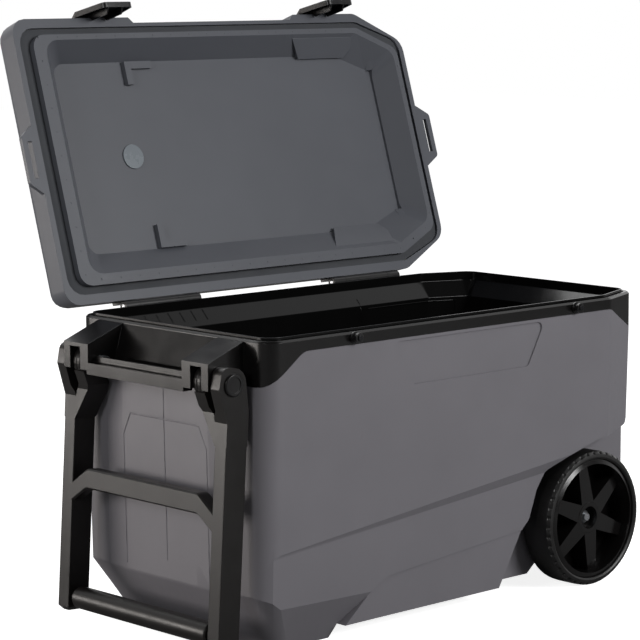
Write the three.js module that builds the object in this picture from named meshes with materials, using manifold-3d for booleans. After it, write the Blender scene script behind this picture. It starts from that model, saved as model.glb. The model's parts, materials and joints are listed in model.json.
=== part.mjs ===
// A wheeled ice cooler: an insulated tub with a black rim frame, a hinged lid with two latches,
// a fork-ended tow handle at one end and two spoked wheels at the other.
//
// Millimetres, +Z up. X runs along the cooler, from the tow handle to the wheels, and Y from the
// front to the hinges. The origin is the middle of the tub's flat underside. The lid is built
// closed and then turned open about its hinge pins, as it stands in use.

import * as THREE from 'three';
import { mergeVertices } from 'three/addons/utils/BufferGeometryUtils.js';
import Module from 'manifold-3d';

const wasm = await Module();
wasm.setup();

// Clearances and wall sizes shared by many pieces
const seat = 0.3; // gap between two pieces that touch
const running = 0.5; // gap round a pin or in a slot where something turns
const overrun = 6; // how far a cutter passes the face it cuts
const lap = 1; // how far one part of a piece runs into the next
const weld = 1e-4; // points closer than this are one point
const skin = 3; // moulded wall of the shell and the lid
const coin = 2; // smallest corner radius left when an outline is drawn inwards

// Tub
const tub = {
  handleX: -406, // end wall at the tow handle
  wheelX: 413, // end wall at the wheels
  halfDepth: 218, // half the depth at the top of the side walls
  draftShare: 0.03, // how far a side wall leans in for each millimetre down
  handleRadius: 30,
  cutX: 318, // where the tapered wheel-end corners start
  cutIn: 38, // how much narrower the wheel-end wall is on each side
  cutRadius: 26,
  footZ: -22, // what the feet stand on
  footX: -250, // inner end of the feet
  footRamp: 7, // up to where the lower panel starts
  footGap: 95, // half the gap between the two feet
  rampX: 188, // the underside rises from here towards the wheels
  rampTopX: 240,
  rampTopZ: 42,
  tailZ: 62, // height of the underside at the wheel end
};
const toe = {
  // Round the feet the walls turn under
  z: 51,
  endZ: 66,
  startX: -371, // from here to the end wall the turn climbs from z to endZ
  sideIn: 35,
  endIn: 46,
};
const bulge = {
  x: -418, // the end panel between the handle's arms stands proud of the end wall
  lugGap: 9.7, // its edge is this far inside the lugs
  rampWidth: 49,
  leanX: 6, // how far its face has come in at the bottom
};
const band = {
  // The moulded line along each side, below which the wall steps in
  handleZ: 124,
  wheelZ: 212,
  handleDrop: 5,
  wheelDrop: 22,
  handleIn: 2.5,
  wheelIn: 10,
};
const panel = {
  // The lower side panel between the foot and the wheel arch
  kneeX: -182,
  kneeZ: 52,
  turnX: -158,
  turnZ: 61,
  archX: 150,
  archZ: 87,
  inset: 2,
  leanShare: 0.04,
};
const plate = {
  // The bare trapezoid recess under the rim at the front
  leftX: -166,
  rightX: 163,
  footLeftX: -122,
  footRightX: 128,
  topZ: 412,
  footZ: 345,
  depth: 2.5,
  radius: 9,
};

// Rim frame
const rim = {
  ledgeZ: 435, // top of the frame
  lowZ: 364, // underside at the tow handle
  highZ: 416.5, // underside along the sides
  tailZ: 372, // underside at the wheel end
  curveX: -408,
  curveTopX: -338,
  inset: 1, // how far the frame lies inside the shell's face
  bevel: 3,
  rebate: 3, // groove beside the liner's ridge
  rebateDepth: 4,
};
const lug = {
  frontX: -471,
  innerWall: 18.7,
  outerWall: 14.8,
  discGap: 0.8, // each side of the handle's disc
  armGap: 1.2, // between the lug and the handle's outer plate
  footZ: 368,
  noseZ: 406.5,
  slotTopZ: 401,
  crownX: -406,
  backX: -392, // back of the pocket behind each slot
  pocketX: -397,
};
const grip = {
  // The fixed lifting bar between the lugs
  backX: -454,
  footZ: 362,
  lipZ: 379,
  lipX: -465,
  grooveZ: 374,
  railX: -459,
  railZ: 388,
  wallX: -420, // face of the hand recess behind it
  scoopZ: 384,
};

// Liner
const liner = {
  handleIn: 10, // from the tub's faces to the ridge
  wheelIn: 13,
  sideIn: 10,
  cutIn: 6,
  radius: 24,
  ridgeZ: 439,
  lipZ: 424, // the lip turns in below this height
  shoulderZ: 400,
  shoulderIn: 24,
  wall: 2.5,
  floorZ: 40, // underside of the liner's floor
  draftShare: 0.03,
  wheelClear: 24, // foam between the wheel wells and the liner
  stepX: 160,
  stepRun: 26,
  axleOver: 38.5, // underside of the raised floor above the axle
  nookX: 149, // shallow panel in the side walls
  nookEndX: 352,
  nookTopZ: 394,
  nookZ: 262,
  nookDepth: 1.6,
};

// Wheels and axle
const wheel = {
  x: tub.wheelX - 137.5,
  radius: 107.5,
  proud: 6, // how far the tyre stands out of the tub's side
  width: 58,
  wellGap: 7, // to the inner wall of the wheel well
  tyreThick: 12,
  tyreLap: 2, // how far the tyre's inner face passes the rim
  shoulder: 4,
  crownDrop: 0.6,
  crownRun: 5,
  crownIn: 13,
};
const rimWheel = {
  wide: 9, // of the ring that carries the tyre
  lipDepth: 4,
  edge: 1,
  webIn: 10,
  web: 4,
  spokes: 6,
  spokeTurnDeg: 98,
  spokeHubHalf: 14,
  spokeRimHalf: 9.5,
  spokeFlare: 2,
  spokeDrop: 11.5, // from the tyre's face to the spokes at the hub
  spokeRimDrop: 16,
  hub: 26,
  hubRise: 0.4,
  hubEdge: 1.4,
  recess: 18,
  recessDepth: 13,
};
const axle = { radius: 6.5, tail: 8, chamfer: 1, nutWide: 4.2, nutThick: 3 };
const washer = { radius: 15, thick: 1.5 };

// Lid, closed
const lid = {
  z: 436, // underside of its flange
  overhang: 8, // past the tub's sides
  handleOut: 3,
  cutIn: 6,
  radius: 26,
  cutRadius: 30,
  flangeThick: 6,
  sideZ: 470,
  shoulderZ: 480,
  edgeZ: 486,
  topZ: 488,
  sideIn: 2,
  shoulderIn: 6,
  edgeIn: 15,
  crownIn: 34,
  openDeg: 107.3,
};
const tray = {
  // Its moulded underside: a channel over the tub's ridge, then a raised edge round a deep tray
  reach: 3,
  channelZ: 444,
  ridgeZ: 430,
  floorZ: 464,
  skin: 3,
  gasket: 3.4,
};
// The tray's outlines, each as its distances inside the tub's ridge
const channel = { handleIn: 17, wheelIn: 9, cutIn: 6, frontIn: 9, backIn: 9, cutFrontIn: 14, cutBackIn: 15, r: 22 };
const edge = { handleIn: 39, wheelIn: 19, cutIn: 12, frontIn: 18, backIn: 26, cutFrontIn: 20, cutBackIn: 29, r: 24 };
const floor = { handleIn: 71, wheelIn: 50, cutIn: 44, frontIn: 48, backIn: 62, cutFrontIn: 46, cutBackIn: 60, r: 18 };
const grab = {
  // The hollow in the lid's front edge where a hand lifts it
  leftX: -171,
  rightX: 163,
  depth: 9,
  topZ: 466,
};
const tab = {
  // The loops at the lid's two ends for a strap
  y: -4,
  halfLength: 56,
  taper: 19,
  thick: 7,
  wheelReach: 29,
  handleReach: 22,
  slotIn: 9.5,
  slotWide: 8,
  slotWall: 8,
};
const cornerRib = { x: -190, longArm: 54, shortArm: 38, wide: 12, height: 8, frontIn: 1, backIn: 0 };
const wallPad = { x: 160, endX: 314, footX: 184, footEndX: 288, proud: 6, footZ: 458 };
const trough = { x: 345, wide: 12, depth: 3, endIn: 15 };
const fillPlug = { x: -204, y: -5, radius: 20, thick: 2, stem: 3, lip: 4 };

// Hinges
const hinge = {
  leftX: -229,
  rightX: 208,
  out: 9, // from the lid's back edge to the pin
  knuckle: 8,
  pin: 3,
  outerEnd: 75,
  ear: 27,
  leafThick: 3.2,
  leafZ: 406,
  armZ: 422,
  armIn: 3,
  topZ: 433.5,
  lidLeafZ: 462,
};

// Latches
const latch = {
  leftX: -240,
  rightX: 234,
  pinIn: 3.5, // from the lid's front edge
  pinZ: 453.5,
  barrel: 5.5,
  pin: 2.5,
  proud: 11.2,
  plate: 4.5,
  rimDeep: 8.3, // its turned-in rim, from the outer face
  rimWall: 2.4,
  shoulderZ: 440,
  topHalf: 40,
  taper: 12,
  tipZ: 379.5,
  tipRadius: 8,
  ribGap: 4, // from the frame's face
  rib: 3,
  ribFootZ: 386,
  ribX_share: 0.5,
  leanDeg: 1.5, // how far it hangs in
  sideGap: 1.5,
  pocketDepth: 10.5,
  pocketZ: 442.5,
  pocketTopZ: 466,
};
const keeper = {
  z: 427,
  flange: 8.6,
  flangeThick: 2.4,
  neck: 5.5,
  neckRun: 8, // from the frame's face to the head
  head: 7.6,
  headThick: 4,
  bore: 2.8,
  screw: 2.5,
  screwHead: 4.4,
  screwHeadThick: 2,
  screwDepth: 6,
};

// Tow handle, hanging plumb
const handle = {
  pivotX: -442.5,
  pivotZ: 376.5,
  leanDeg: 3.6,
  sideIn: 32, // from the tub's side to the arms' outer faces
  armWide: 25.5,
  plateWide: 19.6,
  discWide: 22.4,
  frontX: -451,
  backX: -412,
  crotchZ: 328,
  crotchDrop: 4,
  forkZ: 288,
  forkTopZ: 338,
  headRadius: 24,
  hornX: -468,
  hornTip: 4,
  hornZ: 394,
  hornFootZ: 322,
  footZ: -3,
  footIn: 6,
  gripX: -434,
  gripZ: 18,
  core: 12,
  sleeve: 17,
  sleeveGap: 6.5,
  barTopZ: 217,
  barZ: 187,
  barDrop: 26,
  barBendIn: 32.5,
  barRun: 38,
  barBackX: -429,
  edge: 2.5,
};
const pivot = { radius: 6, head: 16.5, headThick: 4, cap: 11, capThick: 1.6, nutWide: 5, nutThick: 5 };

// Drain
const drain = {
  x: -300,
  z: 74,
  tube: 13,
  wall: 4,
  seatIn: 14.9, // from the top edge of the tub's side to the drain's seat
  flangeWide: 7,
  flangeThick: 4,
  seal: 2,
  tail: 2,
  nutWide: 6,
  nutThick: 5,
  endIn: 1,
  capWide: 5,
  capWall: 3,
  capSeal: 1.6,
};

// Places worked out from the sizes above
const tubCutY = tub.halfDepth - tub.cutIn;
const frameFace = tub.halfDepth - rim.inset;
const linerHandleX = tub.handleX + liner.handleIn;
const linerWheelX = tub.wheelX - liner.wheelIn;
const linerCutX = tub.cutX - liner.cutIn;
const linerHalf = tub.halfDepth - liner.sideIn;
const linerCutY = tubCutY - liner.cutIn;
const lidHandleX = tub.handleX - lid.handleOut;
const lidCutX = tub.cutX - lid.cutIn;
const lidHalf = tub.halfDepth + lid.overhang;
const lidCutY = tubCutY - lid.cutIn;
const wheelZ = tub.footZ + wheel.radius;
const wheelOuterY = tub.halfDepth + wheel.proud;
const wheelInnerY = wheelOuterY - wheel.width;
const wellY = wheelInnerY - wheel.wellGap;
const beadR = wheel.radius - wheel.tyreThick;
const lipR = beadR - rimWheel.wide;
const webY = wheelInnerY + rimWheel.webIn;
const spokeY = wheelOuterY - rimWheel.spokeDrop;
const spokeRimY = wheelOuterY - rimWheel.spokeRimDrop;
const hubY = spokeY + rimWheel.hubRise;
const hubInnerY = wellY + seat + washer.thick + running;
const recessY = hubY - rimWheel.recessDepth;
const nutY = recessY + running;
const axleEndY = nutY + axle.tail;
const handleOuterY = tub.halfDepth - handle.sideIn;
const handleInnerY = handleOuterY - handle.armWide;
const plateY = handleOuterY - handle.plateWide;
const lugOuterY = plateY - lug.armGap;
const slotOuterY = lugOuterY - lug.outerWall;
const discOuterY = slotOuterY - lug.discGap;
const discY = discOuterY - handle.discWide;
const slotY = discY - lug.discGap;
const lugInnerY = slotY - lug.innerWall;
const bulgeHalf = lugInnerY - bulge.lugGap;
const discR = handle.headRadius - running;
const sleeveEndY = handleInnerY - handle.sleeveGap;
const barBendY = handleInnerY - handle.barBendIn;
const hingeXs = [hinge.leftX, hinge.rightX];
const hingeY = lidHalf + hinge.out;
const hingeCentre = hinge.outerEnd - hinge.ear;
const latchXs = [latch.leftX, latch.rightX];
const latchPinY = latch.pinIn - lidHalf;
const latchOuterY = -lidHalf - latch.proud;
const pocketHalf = latch.topHalf + latch.sideGap;
const keeperHeadY = -frameFace - keeper.neckRun;
const keeperEndY = keeperHeadY - keeper.headThick;
const stemR = fillPlug.radius - fillPlug.lip;
const drainBoreR = drain.tube - drain.wall;
const drainFlangeR = drain.tube + drain.flangeWide;
const drainSeatY = tub.halfDepth - drain.seatIn;
const drainEndY = tub.halfDepth - drain.endIn;

// Materials
const greyShell = new THREE.MeshStandardMaterial({ color: '#6b696c', roughness: 0.55, metalness: 0 });
const greyLid = new THREE.MeshStandardMaterial({ color: '#5c5d61', roughness: 0.5, metalness: 0 });
const blackFrame = new THREE.MeshStandardMaterial({ color: '#1d1c1c', roughness: 0.42, metalness: 0 });
const blackLiner = new THREE.MeshStandardMaterial({ color: '#121213', roughness: 0.4, metalness: 0 });
const handlePlastic = new THREE.MeshStandardMaterial({ color: '#3f3c3c', roughness: 0.6, metalness: 0 });
const wheelPlastic = new THREE.MeshStandardMaterial({ color: '#2b2a2a', roughness: 0.45, metalness: 0 });
const tyreRubber = new THREE.MeshStandardMaterial({ color: '#1a1919', roughness: 0.85, metalness: 0 });
const sealRubber = new THREE.MeshStandardMaterial({ color: '#17171a', roughness: 0.8, metalness: 0 });
const foam = new THREE.MeshStandardMaterial({ color: '#e8dfb8', roughness: 0.95, metalness: 0 });
const steel = new THREE.MeshStandardMaterial({ color: '#b9bbbd', roughness: 0.35, metalness: 1 });
const plugPlastic = new THREE.MeshStandardMaterial({ color: '#8e9499', roughness: 0.35, metalness: 0 });

// Solids out of closed meshes, and back
function solid(geometry) {
  const bare = geometry.clone();
  bare.deleteAttribute('normal');
  bare.deleteAttribute('uv');
  const merged = mergeVertices(bare, weld);
  const index = merged.index.array;
  const triVerts = [];
  for (let i = 0; i < index.length; i += 3) {
    const [a, b, c] = [index[i], index[i + 1], index[i + 2]];
    if (a !== b && b !== c && c !== a) triVerts.push(a, b, c);
  }
  return new wasm.Manifold(new wasm.Mesh({
    numProp: 3,
    vertProperties: merged.attributes.position.array,
    triVerts: new Uint32Array(triVerts),
  }));
}

function surface(body) {
  const mesh = body.getMesh();
  const geometry = new THREE.BufferGeometry();
  geometry.setAttribute('position', new THREE.BufferAttribute(mesh.vertProperties, 3));
  geometry.setIndex(new THREE.BufferAttribute(mesh.triVerts, 1));
  geometry.computeVertexNormals();
  return geometry;
}

const join = (...bodies) => bodies.reduce((whole, body) => whole.add(body));
const cut = (body, ...cutters) => cutters.reduce((whole, cutter) => whole.subtract(cutter), body);

// Outlines. A corner is a point with an optional radius r; an outline is a closed list of points.
function rounded(corners, steps = 4) {
  const last = corners.length - 1;
  return corners.flatMap((corner, i) => {
    if (!corner.r) return [[corner.x, corner.y]];
    const here = new THREE.Vector2(corner.x, corner.y);
    const before = corners[i === 0 ? last : i - 1];
    const after = corners[i === last ? 0 : i + 1];
    const toBefore = new THREE.Vector2(before.x, before.y).sub(here).normalize();
    const toAfter = new THREE.Vector2(after.x, after.y).sub(here).normalize();
    const half = Math.acos(toBefore.dot(toAfter)) / 2;
    const inwards = toBefore.clone().add(toAfter).normalize();
    const centre = here.clone().addScaledVector(inwards, corner.r / Math.sin(half));
    const start = here.clone().addScaledVector(toBefore, corner.r / Math.tan(half)).sub(centre);
    const turn = Math.PI - 2 * half;
    const sign = Math.sign(toBefore.cross(toAfter)) * -1;
    return Array.from({ length: steps + 1 }, (_, k) => {
      const point = start.clone().rotateAround(new THREE.Vector2(), (sign * turn * k) / steps);
      return [centre.x + point.x, centre.y + point.y];
    });
  });
}

// The same corners with every edge moved in by a distance, or out if it is negative
function drawnIn(corners, distance) {
  const last = corners.length - 1;
  const normal = (from, to) => new THREE.Vector2(from.y - to.y, to.x - from.x).normalize();
  return corners.map((corner, i) => {
    const first = normal(corners[i === 0 ? last : i - 1], corner);
    const second = normal(corner, corners[i === last ? 0 : i + 1]);
    const step = distance / (1 + first.dot(second));
    const r = corner.r && Math.max(corner.r - distance * Math.sign(bend(first, second)), coin);
    return { x: corner.x + step * (first.x + second.x), y: corner.y + step * (first.y + second.y), r };
  });
}
const bend = (first, second) => first.cross(second);

// Closed meshes between sections of equal point count, each capped at its ends
function capFaces(ring) {
  const size = new THREE.Box3().setFromPoints(ring).getSize(new THREE.Vector3());
  const [across, along] = ['x', 'y', 'z'].sort((p, q) => size[q] - size[p]);
  const flat = ring.map((point) => new THREE.Vector2(point[across], point[along]));
  const faces = THREE.ShapeUtils.triangulateShape(flat, []);
  return THREE.ShapeUtils.area(flat) < 0 ? faces.map(([a, b, c]) => [c, b, a]) : faces;
}

function volumeOf(points, faces) {
  const parts = faces.map(([a, b, c]) => points[a].dot(points[b].clone().cross(points[c])));
  return parts.reduce((sum, part) => sum + part, 0);
}

function loft(rings) {
  const count = rings[0].length;
  const points = rings.flat();
  const faces = capFaces(rings[0]).map(([a, b, c]) => [c, b, a]);
  const top = points.length - count;
  capFaces(rings.at(-1)).forEach(([a, b, c]) => faces.push([top + a, top + b, top + c]));
  for (let a = 0; a < top; a += 1) {
    const b = (a + 1) % count === 0 ? a + 1 - count : a + 1;
    faces.push([a, b, b + count], [a, b + count, a + count]);
  }
  const inwards = volumeOf(points, faces) < 0;
  const geometry = new THREE.BufferGeometry().setFromPoints(points);
  geometry.setIndex((inwards ? faces.map(([a, b, c]) => [c, b, a]) : faces).flat());
  return solid(geometry);
}

// A level outline at a height, an upright one across Y, and one across X
const level = (outline, z) => outline.map(([x, y]) => new THREE.Vector3(x, y, z));
const acrossY = (outline, y) => outline.map(([x, z]) => new THREE.Vector3(x, y, z));
const acrossX = (outline, x) => outline.map(([y, z]) => new THREE.Vector3(x, y, z));

const slab = (outline, low, high) => loft([level(outline, low), level(outline, high)]);
const sidePiece = (outline, low, high) => loft([acrossY(outline, low), acrossY(outline, high)]);
const endPiece = (outline, low, high) => loft([acrossX(outline, low), acrossX(outline, high)]);

// A piece across Y or X whose two end faces have bevelled edges
function softPiece(section, corners, low, high, edge) {
  const whole = rounded(corners);
  const drawn = rounded(drawnIn(corners, edge));
  const places = [[drawn, low], [whole, low + edge], [whole, high - edge], [drawn, high]];
  return loft(places.map(([outline, at]) => section(outline, at)));
}

function block(x0, x1, y0, y1, z0, z1) {
  const geometry = new THREE.BoxGeometry(x1 - x0, y1 - y0, z1 - z0);
  return solid(geometry.translate((x0 + x1) / 2, (y0 + y1) / 2, (z0 + z1) / 2));
}

// A turned piece along X or Y: the profile is a list of radius and place along the axis
function turned(profile, axis, x, y, z, segments = 32) {
  const points = profile.map(([radius, along]) => new THREE.Vector2(radius, along));
  const geometry = new THREE.LatheGeometry(points, segments);
  if (axis === 'x') geometry.rotateZ(-Math.PI / 2);
  if (axis === 'z') geometry.rotateX(Math.PI / 2);
  const body = solid(geometry.translate(x, y, z));
  return body.volume() < 0 ? solid(flipped(geometry)) : body;
}

function flipped(geometry) {
  const index = geometry.index.array;
  for (let i = 0; i < index.length; i += 3) [index[i], index[i + 1]] = [index[i + 1], index[i]];
  return geometry;
}

const rod = (radius, from, to, axis, x, y, z, segments = 24) =>
  turned([[0, from], [radius, from], [radius, to], [0, to]], axis, x, y, z, segments);

const bothSides = (make) => join(make(1), make(-1));
const ySpan = (side, near, far) => (side > 0 ? [near, far] : [-far, -near]);

// Scene graph
const cooler = new THREE.Group();

function place(group, name, body, material, pivotPoint = new THREE.Vector3()) {
  const geometry = surface(body).translate(-pivotPoint.x, -pivotPoint.y, -pivotPoint.z);
  const mesh = new THREE.Mesh(geometry, material);
  mesh.name = name;
  group.add(mesh);
}

// How far out the tub's side walls stand at a height
const wallY = (z) => tub.halfDepth - tub.draftShare * (rim.highZ - z);

// Plan outline of the tub at a height, drawn in by an inset; under is 1 at the bottom of the feet
function tubCorners(z, inset, under = 0) {
  const lean = tub.draftShare * Math.max(rim.highZ - z, 0);
  const half = tub.halfDepth - lean - toe.sideIn * under;
  const cutHalf = tubCutY - lean - toe.sideIn * under;
  const handleX = tub.handleX + toe.endIn * under;
  const corners = [
    { x: handleX, y: -half, r: tub.handleRadius },
    { x: tub.cutX, y: -half, r: tub.cutRadius },
    { x: tub.wheelX, y: -cutHalf, r: tub.cutRadius },
    { x: tub.wheelX, y: cutHalf, r: tub.cutRadius },
    { x: tub.cutX, y: half, r: tub.cutRadius },
    { x: handleX, y: half, r: tub.handleRadius },
  ];
  return drawnIn(corners, inset);
}

const tubRing = (z, inset, height = z) => level(rounded(tubCorners(z, inset)), height);
const tubTopZ = liner.ridgeZ + overrun;

const tubLoft = (inset) => loft([
  tubRing(tub.footZ, inset, tub.footZ + inset),
  tubRing(rim.highZ, inset),
  tubRing(tubTopZ, inset),
]);

// The same form with its walls turned under round the feet. The line they turn on climbs to the end.
function footForm(inset) {
  const turn = rounded(tubCorners(toe.z, inset)).map(([x, y]) => {
    const along = (toe.startX - x) / (toe.startX - tub.handleX);
    const rise = (toe.endZ - toe.z) * Math.min(Math.max(along, 0), 1);
    return new THREE.Vector3(x, y + Math.sign(y) * tub.draftShare * rise, toe.z + rise);
  });
  const bottom = level(rounded(tubCorners(tub.footZ, inset, 1)), tub.footZ + inset);
  return loft([bottom, turn, tubRing(rim.highZ, inset), tubRing(tubTopZ, inset)]);
}

function footZone(grow) {
  const startX = bulge.x - overrun;
  const belowZ = tub.footZ - overrun;
  const topZ = toe.endZ + overrun;
  const corners = [
    { x: startX, y: belowZ },
    { x: tub.footX + tub.footRamp, y: belowZ },
    { x: tub.footX + tub.footRamp, y: 0 },
    { x: panel.kneeX, y: panel.kneeZ },
    { x: panel.kneeX, y: topZ },
    { x: startX, y: topZ },
  ];
  const half = tub.halfDepth + overrun;
  return sidePiece(rounded(drawnIn(corners, -grow)), -half, half);
}

// Side views, as corners in X and Z
const arch_shares = [
  [-1.893, -1.4],
  [-1.893, -1.028],
  [-1.316, 0.023],
  [-1.191, 0.135],
  [-1.047, 0.55],
  [-0.86, 0.815],
  [-0.391, 0.99],
  [0.191, 1.15],
  [0.647, 1.185],
  [1.13, 1.235],
  [1.29, 1.46],
  [1.6, 1.6],
  [1.6, -1.4],
];
const archRadius_shares = [0, 0, 0.07, 0.14, 0.2, 0.2, 0.9, 0.9, 0.9, 0.16, 0.1, 0, 0];

const archCorners = () => arch_shares
  .map(([along, up], i) => ({
    x: wheel.x + along * wheel.radius,
    y: wheelZ + up * wheel.radius,
    r: archRadius_shares[i] * wheel.radius,
  }))
  .reverse();

function wheelWells(grow) {
  const outline = rounded(drawnIn(archCorners(), -grow));
  const outer = tub.halfDepth + overrun;
  return bothSides((side) => sidePiece(outline, ...ySpan(side, wellY - grow, outer)));
}

function underside(grow) {
  const belowZ = tub.footZ - overrun;
  const endX = tub.wheelX + overrun;
  const outline = [
    { x: tub.footX, y: belowZ },
    { x: endX, y: belowZ },
    { x: endX, y: tub.tailZ },
    { x: tub.rampTopX, y: tub.rampTopZ },
    { x: tub.rampX, y: 0 },
    { x: tub.footX + tub.footRamp, y: 0 },
    { x: tub.footX, y: tub.footZ },
  ];
  const half = tub.halfDepth + overrun;
  return sidePiece(rounded(drawnIn(outline, -grow)), -half, half);
}

function footGap(grow) {
  const half = tub.footGap + grow;
  const startX = tub.handleX - overrun;
  return block(startX, tub.footX + tub.footRamp, -half, half, tub.footZ - overrun, grow);
}

const axleBore = (grow) =>
  rod(axle.radius + seat + grow, -tub.halfDepth, tub.halfDepth, 'y', wheel.x, 0, wheelZ);

// The end panel that stands proud between the handle's arms
function endBulge(inset) {
  const backX = tub.handleX + 2 * toe.endIn;
  const wide = bulgeHalf + bulge.rampWidth;
  const section = (z, leanX, under) => {
    const wallX = tub.handleX + toe.endIn * under;
    const faceX = bulge.x + leanX + toe.endIn * under;
    const corners = [
      { x: faceX, y: bulgeHalf, r: bulge.rampWidth / 2 },
      { x: faceX, y: -bulgeHalf, r: bulge.rampWidth / 2 },
      { x: wallX, y: -wide },
      { x: backX, y: -wide },
      { x: backX, y: wide },
      { x: wallX, y: wide },
    ];
    return level(rounded(drawnIn(corners, inset)), z);
  };
  return loft([
    section(tub.footZ + inset, bulge.leanX, 1),
    section(toe.endZ, bulge.leanX, 0),
    section(rim.lowZ, 0, 0),
    section(tubTopZ, 0, 0),
  ]);
}

// Below the moulded line each side wall steps in, more towards the wheels
function bandCut(side, grow) {
  const startX = tub.handleX - overrun;
  const endX = tub.wheelX + overrun;
  const section = (x, z, drop, depth) => {
    const lowZ = tub.footZ - overrun;
    const outline = [
      [side * (tub.halfDepth + overrun), z],
      [side * (wallY(z) - grow), z],
      [side * (wallY(z - drop) - grow - depth), z - drop],
      [side * (wallY(lowZ) - grow - depth), lowZ],
      [side * (tub.halfDepth + overrun), lowZ],
    ];
    return acrossX(outline, x);
  };
  return loft([
    section(startX, band.handleZ, band.handleDrop, band.handleIn),
    section(endX, band.wheelZ, band.wheelDrop, band.wheelIn),
  ]);
}

const bandDepth = (x) => {
  const startX = tub.handleX - overrun;
  const along = (x - startX) / (tub.wheelX + overrun - startX);
  return band.handleIn + (band.wheelIn - band.handleIn) * along;
};

// The lower panel slopes in from its line to the underside
function panelCut(side, grow) {
  const outer = tub.halfDepth + overrun;
  const section = (x, z) => {
    const topY = wallY(z) - bandDepth(x) - panel.inset - grow;
    const footY = topY - panel.leanShare * (z - tub.footZ);
    return acrossX([[side * outer, z], [side * topY, z], [side * footY, tub.footZ], [side * outer, tub.footZ]], x);
  };
  return loft([
    section(tub.footX + tub.footRamp, 0),
    section(panel.kneeX, panel.kneeZ),
    section(panel.turnX, panel.turnZ),
    section(panel.archX, panel.archZ),
  ]);
}

function platePocket(grow) {
  const corners = [
    { x: plate.footLeftX, y: plate.footZ, r: plate.radius },
    { x: plate.footRightX, y: plate.footZ, r: plate.radius },
    { x: plate.rightX, y: plate.topZ, r: plate.radius },
    { x: plate.leftX, y: plate.topZ, r: plate.radius },
  ];
  const outline = rounded(drawnIn(corners, -grow));
  const inner = outline.map(([x, z]) => new THREE.Vector3(x, plate.depth + grow - wallY(z), z));
  return loft([acrossY(outline, -tub.halfDepth - overrun), inner]);
}

// The tub's outer form, or the space inside it at a depth below its skin
function tubForm(inset) {
  const zone = footZone(inset);
  const whole = join(cut(tubLoft(inset), zone), footForm(inset).intersect(zone), endBulge(inset));
  const sides = bothSides((side) => join(bandCut(side, inset), panelCut(side, inset)));
  const under = join(wheelWells(inset), underside(inset), footGap(inset));
  return cut(whole, sides, under, axleBore(inset), platePocket(inset), drainSeat(inset));
}

// Where the rim frame takes over from the shell, in side view
function rimZone(shift) {
  const endX = tub.wheelX + overrun;
  const startX = lug.frontX - overrun;
  const topZ = liner.ridgeZ + 2 * overrun;
  const corners = [
    { x: startX, y: rim.lowZ + shift },
    { x: rim.curveX, y: rim.lowZ + shift, r: 2 * tub.handleRadius },
    { x: rim.curveTopX, y: rim.highZ + shift, r: tub.handleRadius },
    { x: tub.cutX, y: rim.highZ + shift, r: tub.cutRadius },
    { x: tub.wheelX, y: rim.tailZ + shift },
    { x: endX, y: rim.tailZ + shift },
    { x: endX, y: topZ },
    { x: startX, y: topZ },
  ];
  const half = tub.halfDepth + overrun;
  return sidePiece(rounded(corners), -half, half);
}

const drainBore = (grow) =>
  rod(drain.tube + grow, 0, tub.halfDepth + overrun, 'y', drain.x, 0, drain.z);
const drainSeat = (grow) =>
  rod(drainFlangeR + seat + grow, drainSeatY - grow, tub.halfDepth + overrun, 'y', drain.x, 0, drain.z);

function bodyShell() {
  const lugs = bothSides((side) => lugBlock(side, seat));
  return cut(tubForm(0), tubForm(skin), rimZone(0), lugs, scoopWall(seat), drainBore(seat));
}

// Liner: its outer form, drawn in by an inset for the inside
function linerCorners(inset) {
  const corners = [
    { x: linerHandleX, y: -linerHalf, r: liner.radius },
    { x: linerCutX, y: -linerHalf, r: liner.radius },
    { x: linerWheelX, y: -linerCutY, r: liner.radius },
    { x: linerWheelX, y: linerCutY, r: liner.radius },
    { x: linerCutX, y: linerHalf, r: liner.radius },
    { x: linerHandleX, y: linerHalf, r: liner.radius },
  ];
  return drawnIn(corners, inset);
}

const stepZ = wheelZ + liner.axleOver;

function linerForm(inset, topZ) {
  const ring = (z, depth) => level(rounded(linerCorners(depth + inset)), z);
  const footIn = liner.shoulderIn + liner.draftShare * (liner.shoulderZ - liner.floorZ);
  const whole = loft([
    ring(liner.floorZ + inset, footIn),
    ring(liner.shoulderZ, liner.shoulderIn),
    ring(liner.lipZ, 0),
    ring(topZ, 0),
  ]);
  const endX = tub.wheelX + overrun;
  const step = [
    { x: liner.stepX, y: -overrun },
    { x: endX, y: -overrun },
    { x: endX, y: stepZ },
    { x: liner.stepX + liner.stepRun, y: stepZ, r: liner.stepRun },
    { x: liner.stepX, y: liner.floorZ },
  ];
  const raised = sidePiece(rounded(drawnIn(step, -inset)), -tub.halfDepth, tub.halfDepth);
  return cut(whole, wheelWells(liner.wheelClear + skin + inset), raised);
}

// Shallow panels in the side walls of the liner, near the wheels
function linerNook(side) {
  const wallY = (z) => linerHalf - liner.wall - liner.shoulderIn
    - liner.draftShare * (liner.shoulderZ - z) + liner.nookDepth;
  const outline = rounded([
    { x: liner.nookX, y: liner.nookZ, r: liner.wall },
    { x: liner.nookEndX, y: liner.nookZ, r: liner.wall },
    { x: liner.nookEndX, y: liner.nookTopZ, r: liner.wall },
    { x: liner.nookX, y: liner.nookTopZ, r: liner.wall },
  ]);
  const face = outline.map(([x, z]) => new THREE.Vector3(x, side * wallY(z), z));
  return loft([acrossY(outline, 0), face]);
}

function bodyLiner() {
  const inside = linerForm(liner.wall, liner.ridgeZ + overrun);
  const nooks = bothSides(linerNook).intersect(linerForm(liner.wall - liner.nookDepth, liner.ridgeZ));
  return cut(linerForm(0, liner.ridgeZ), inside, nooks, drainBore(seat));
}

// Side view of a lug, and the pockets behind the slots that the handle's discs turn in
function lugProfile() {
  return [
    [lug.backX, lug.footZ],
    [lug.backX, lug.noseZ],
    [lug.crownX, rim.ledgeZ - rim.bevel],
    [lug.frontX, lug.noseZ],
    [lug.frontX, lug.footZ],
  ];
}

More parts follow.
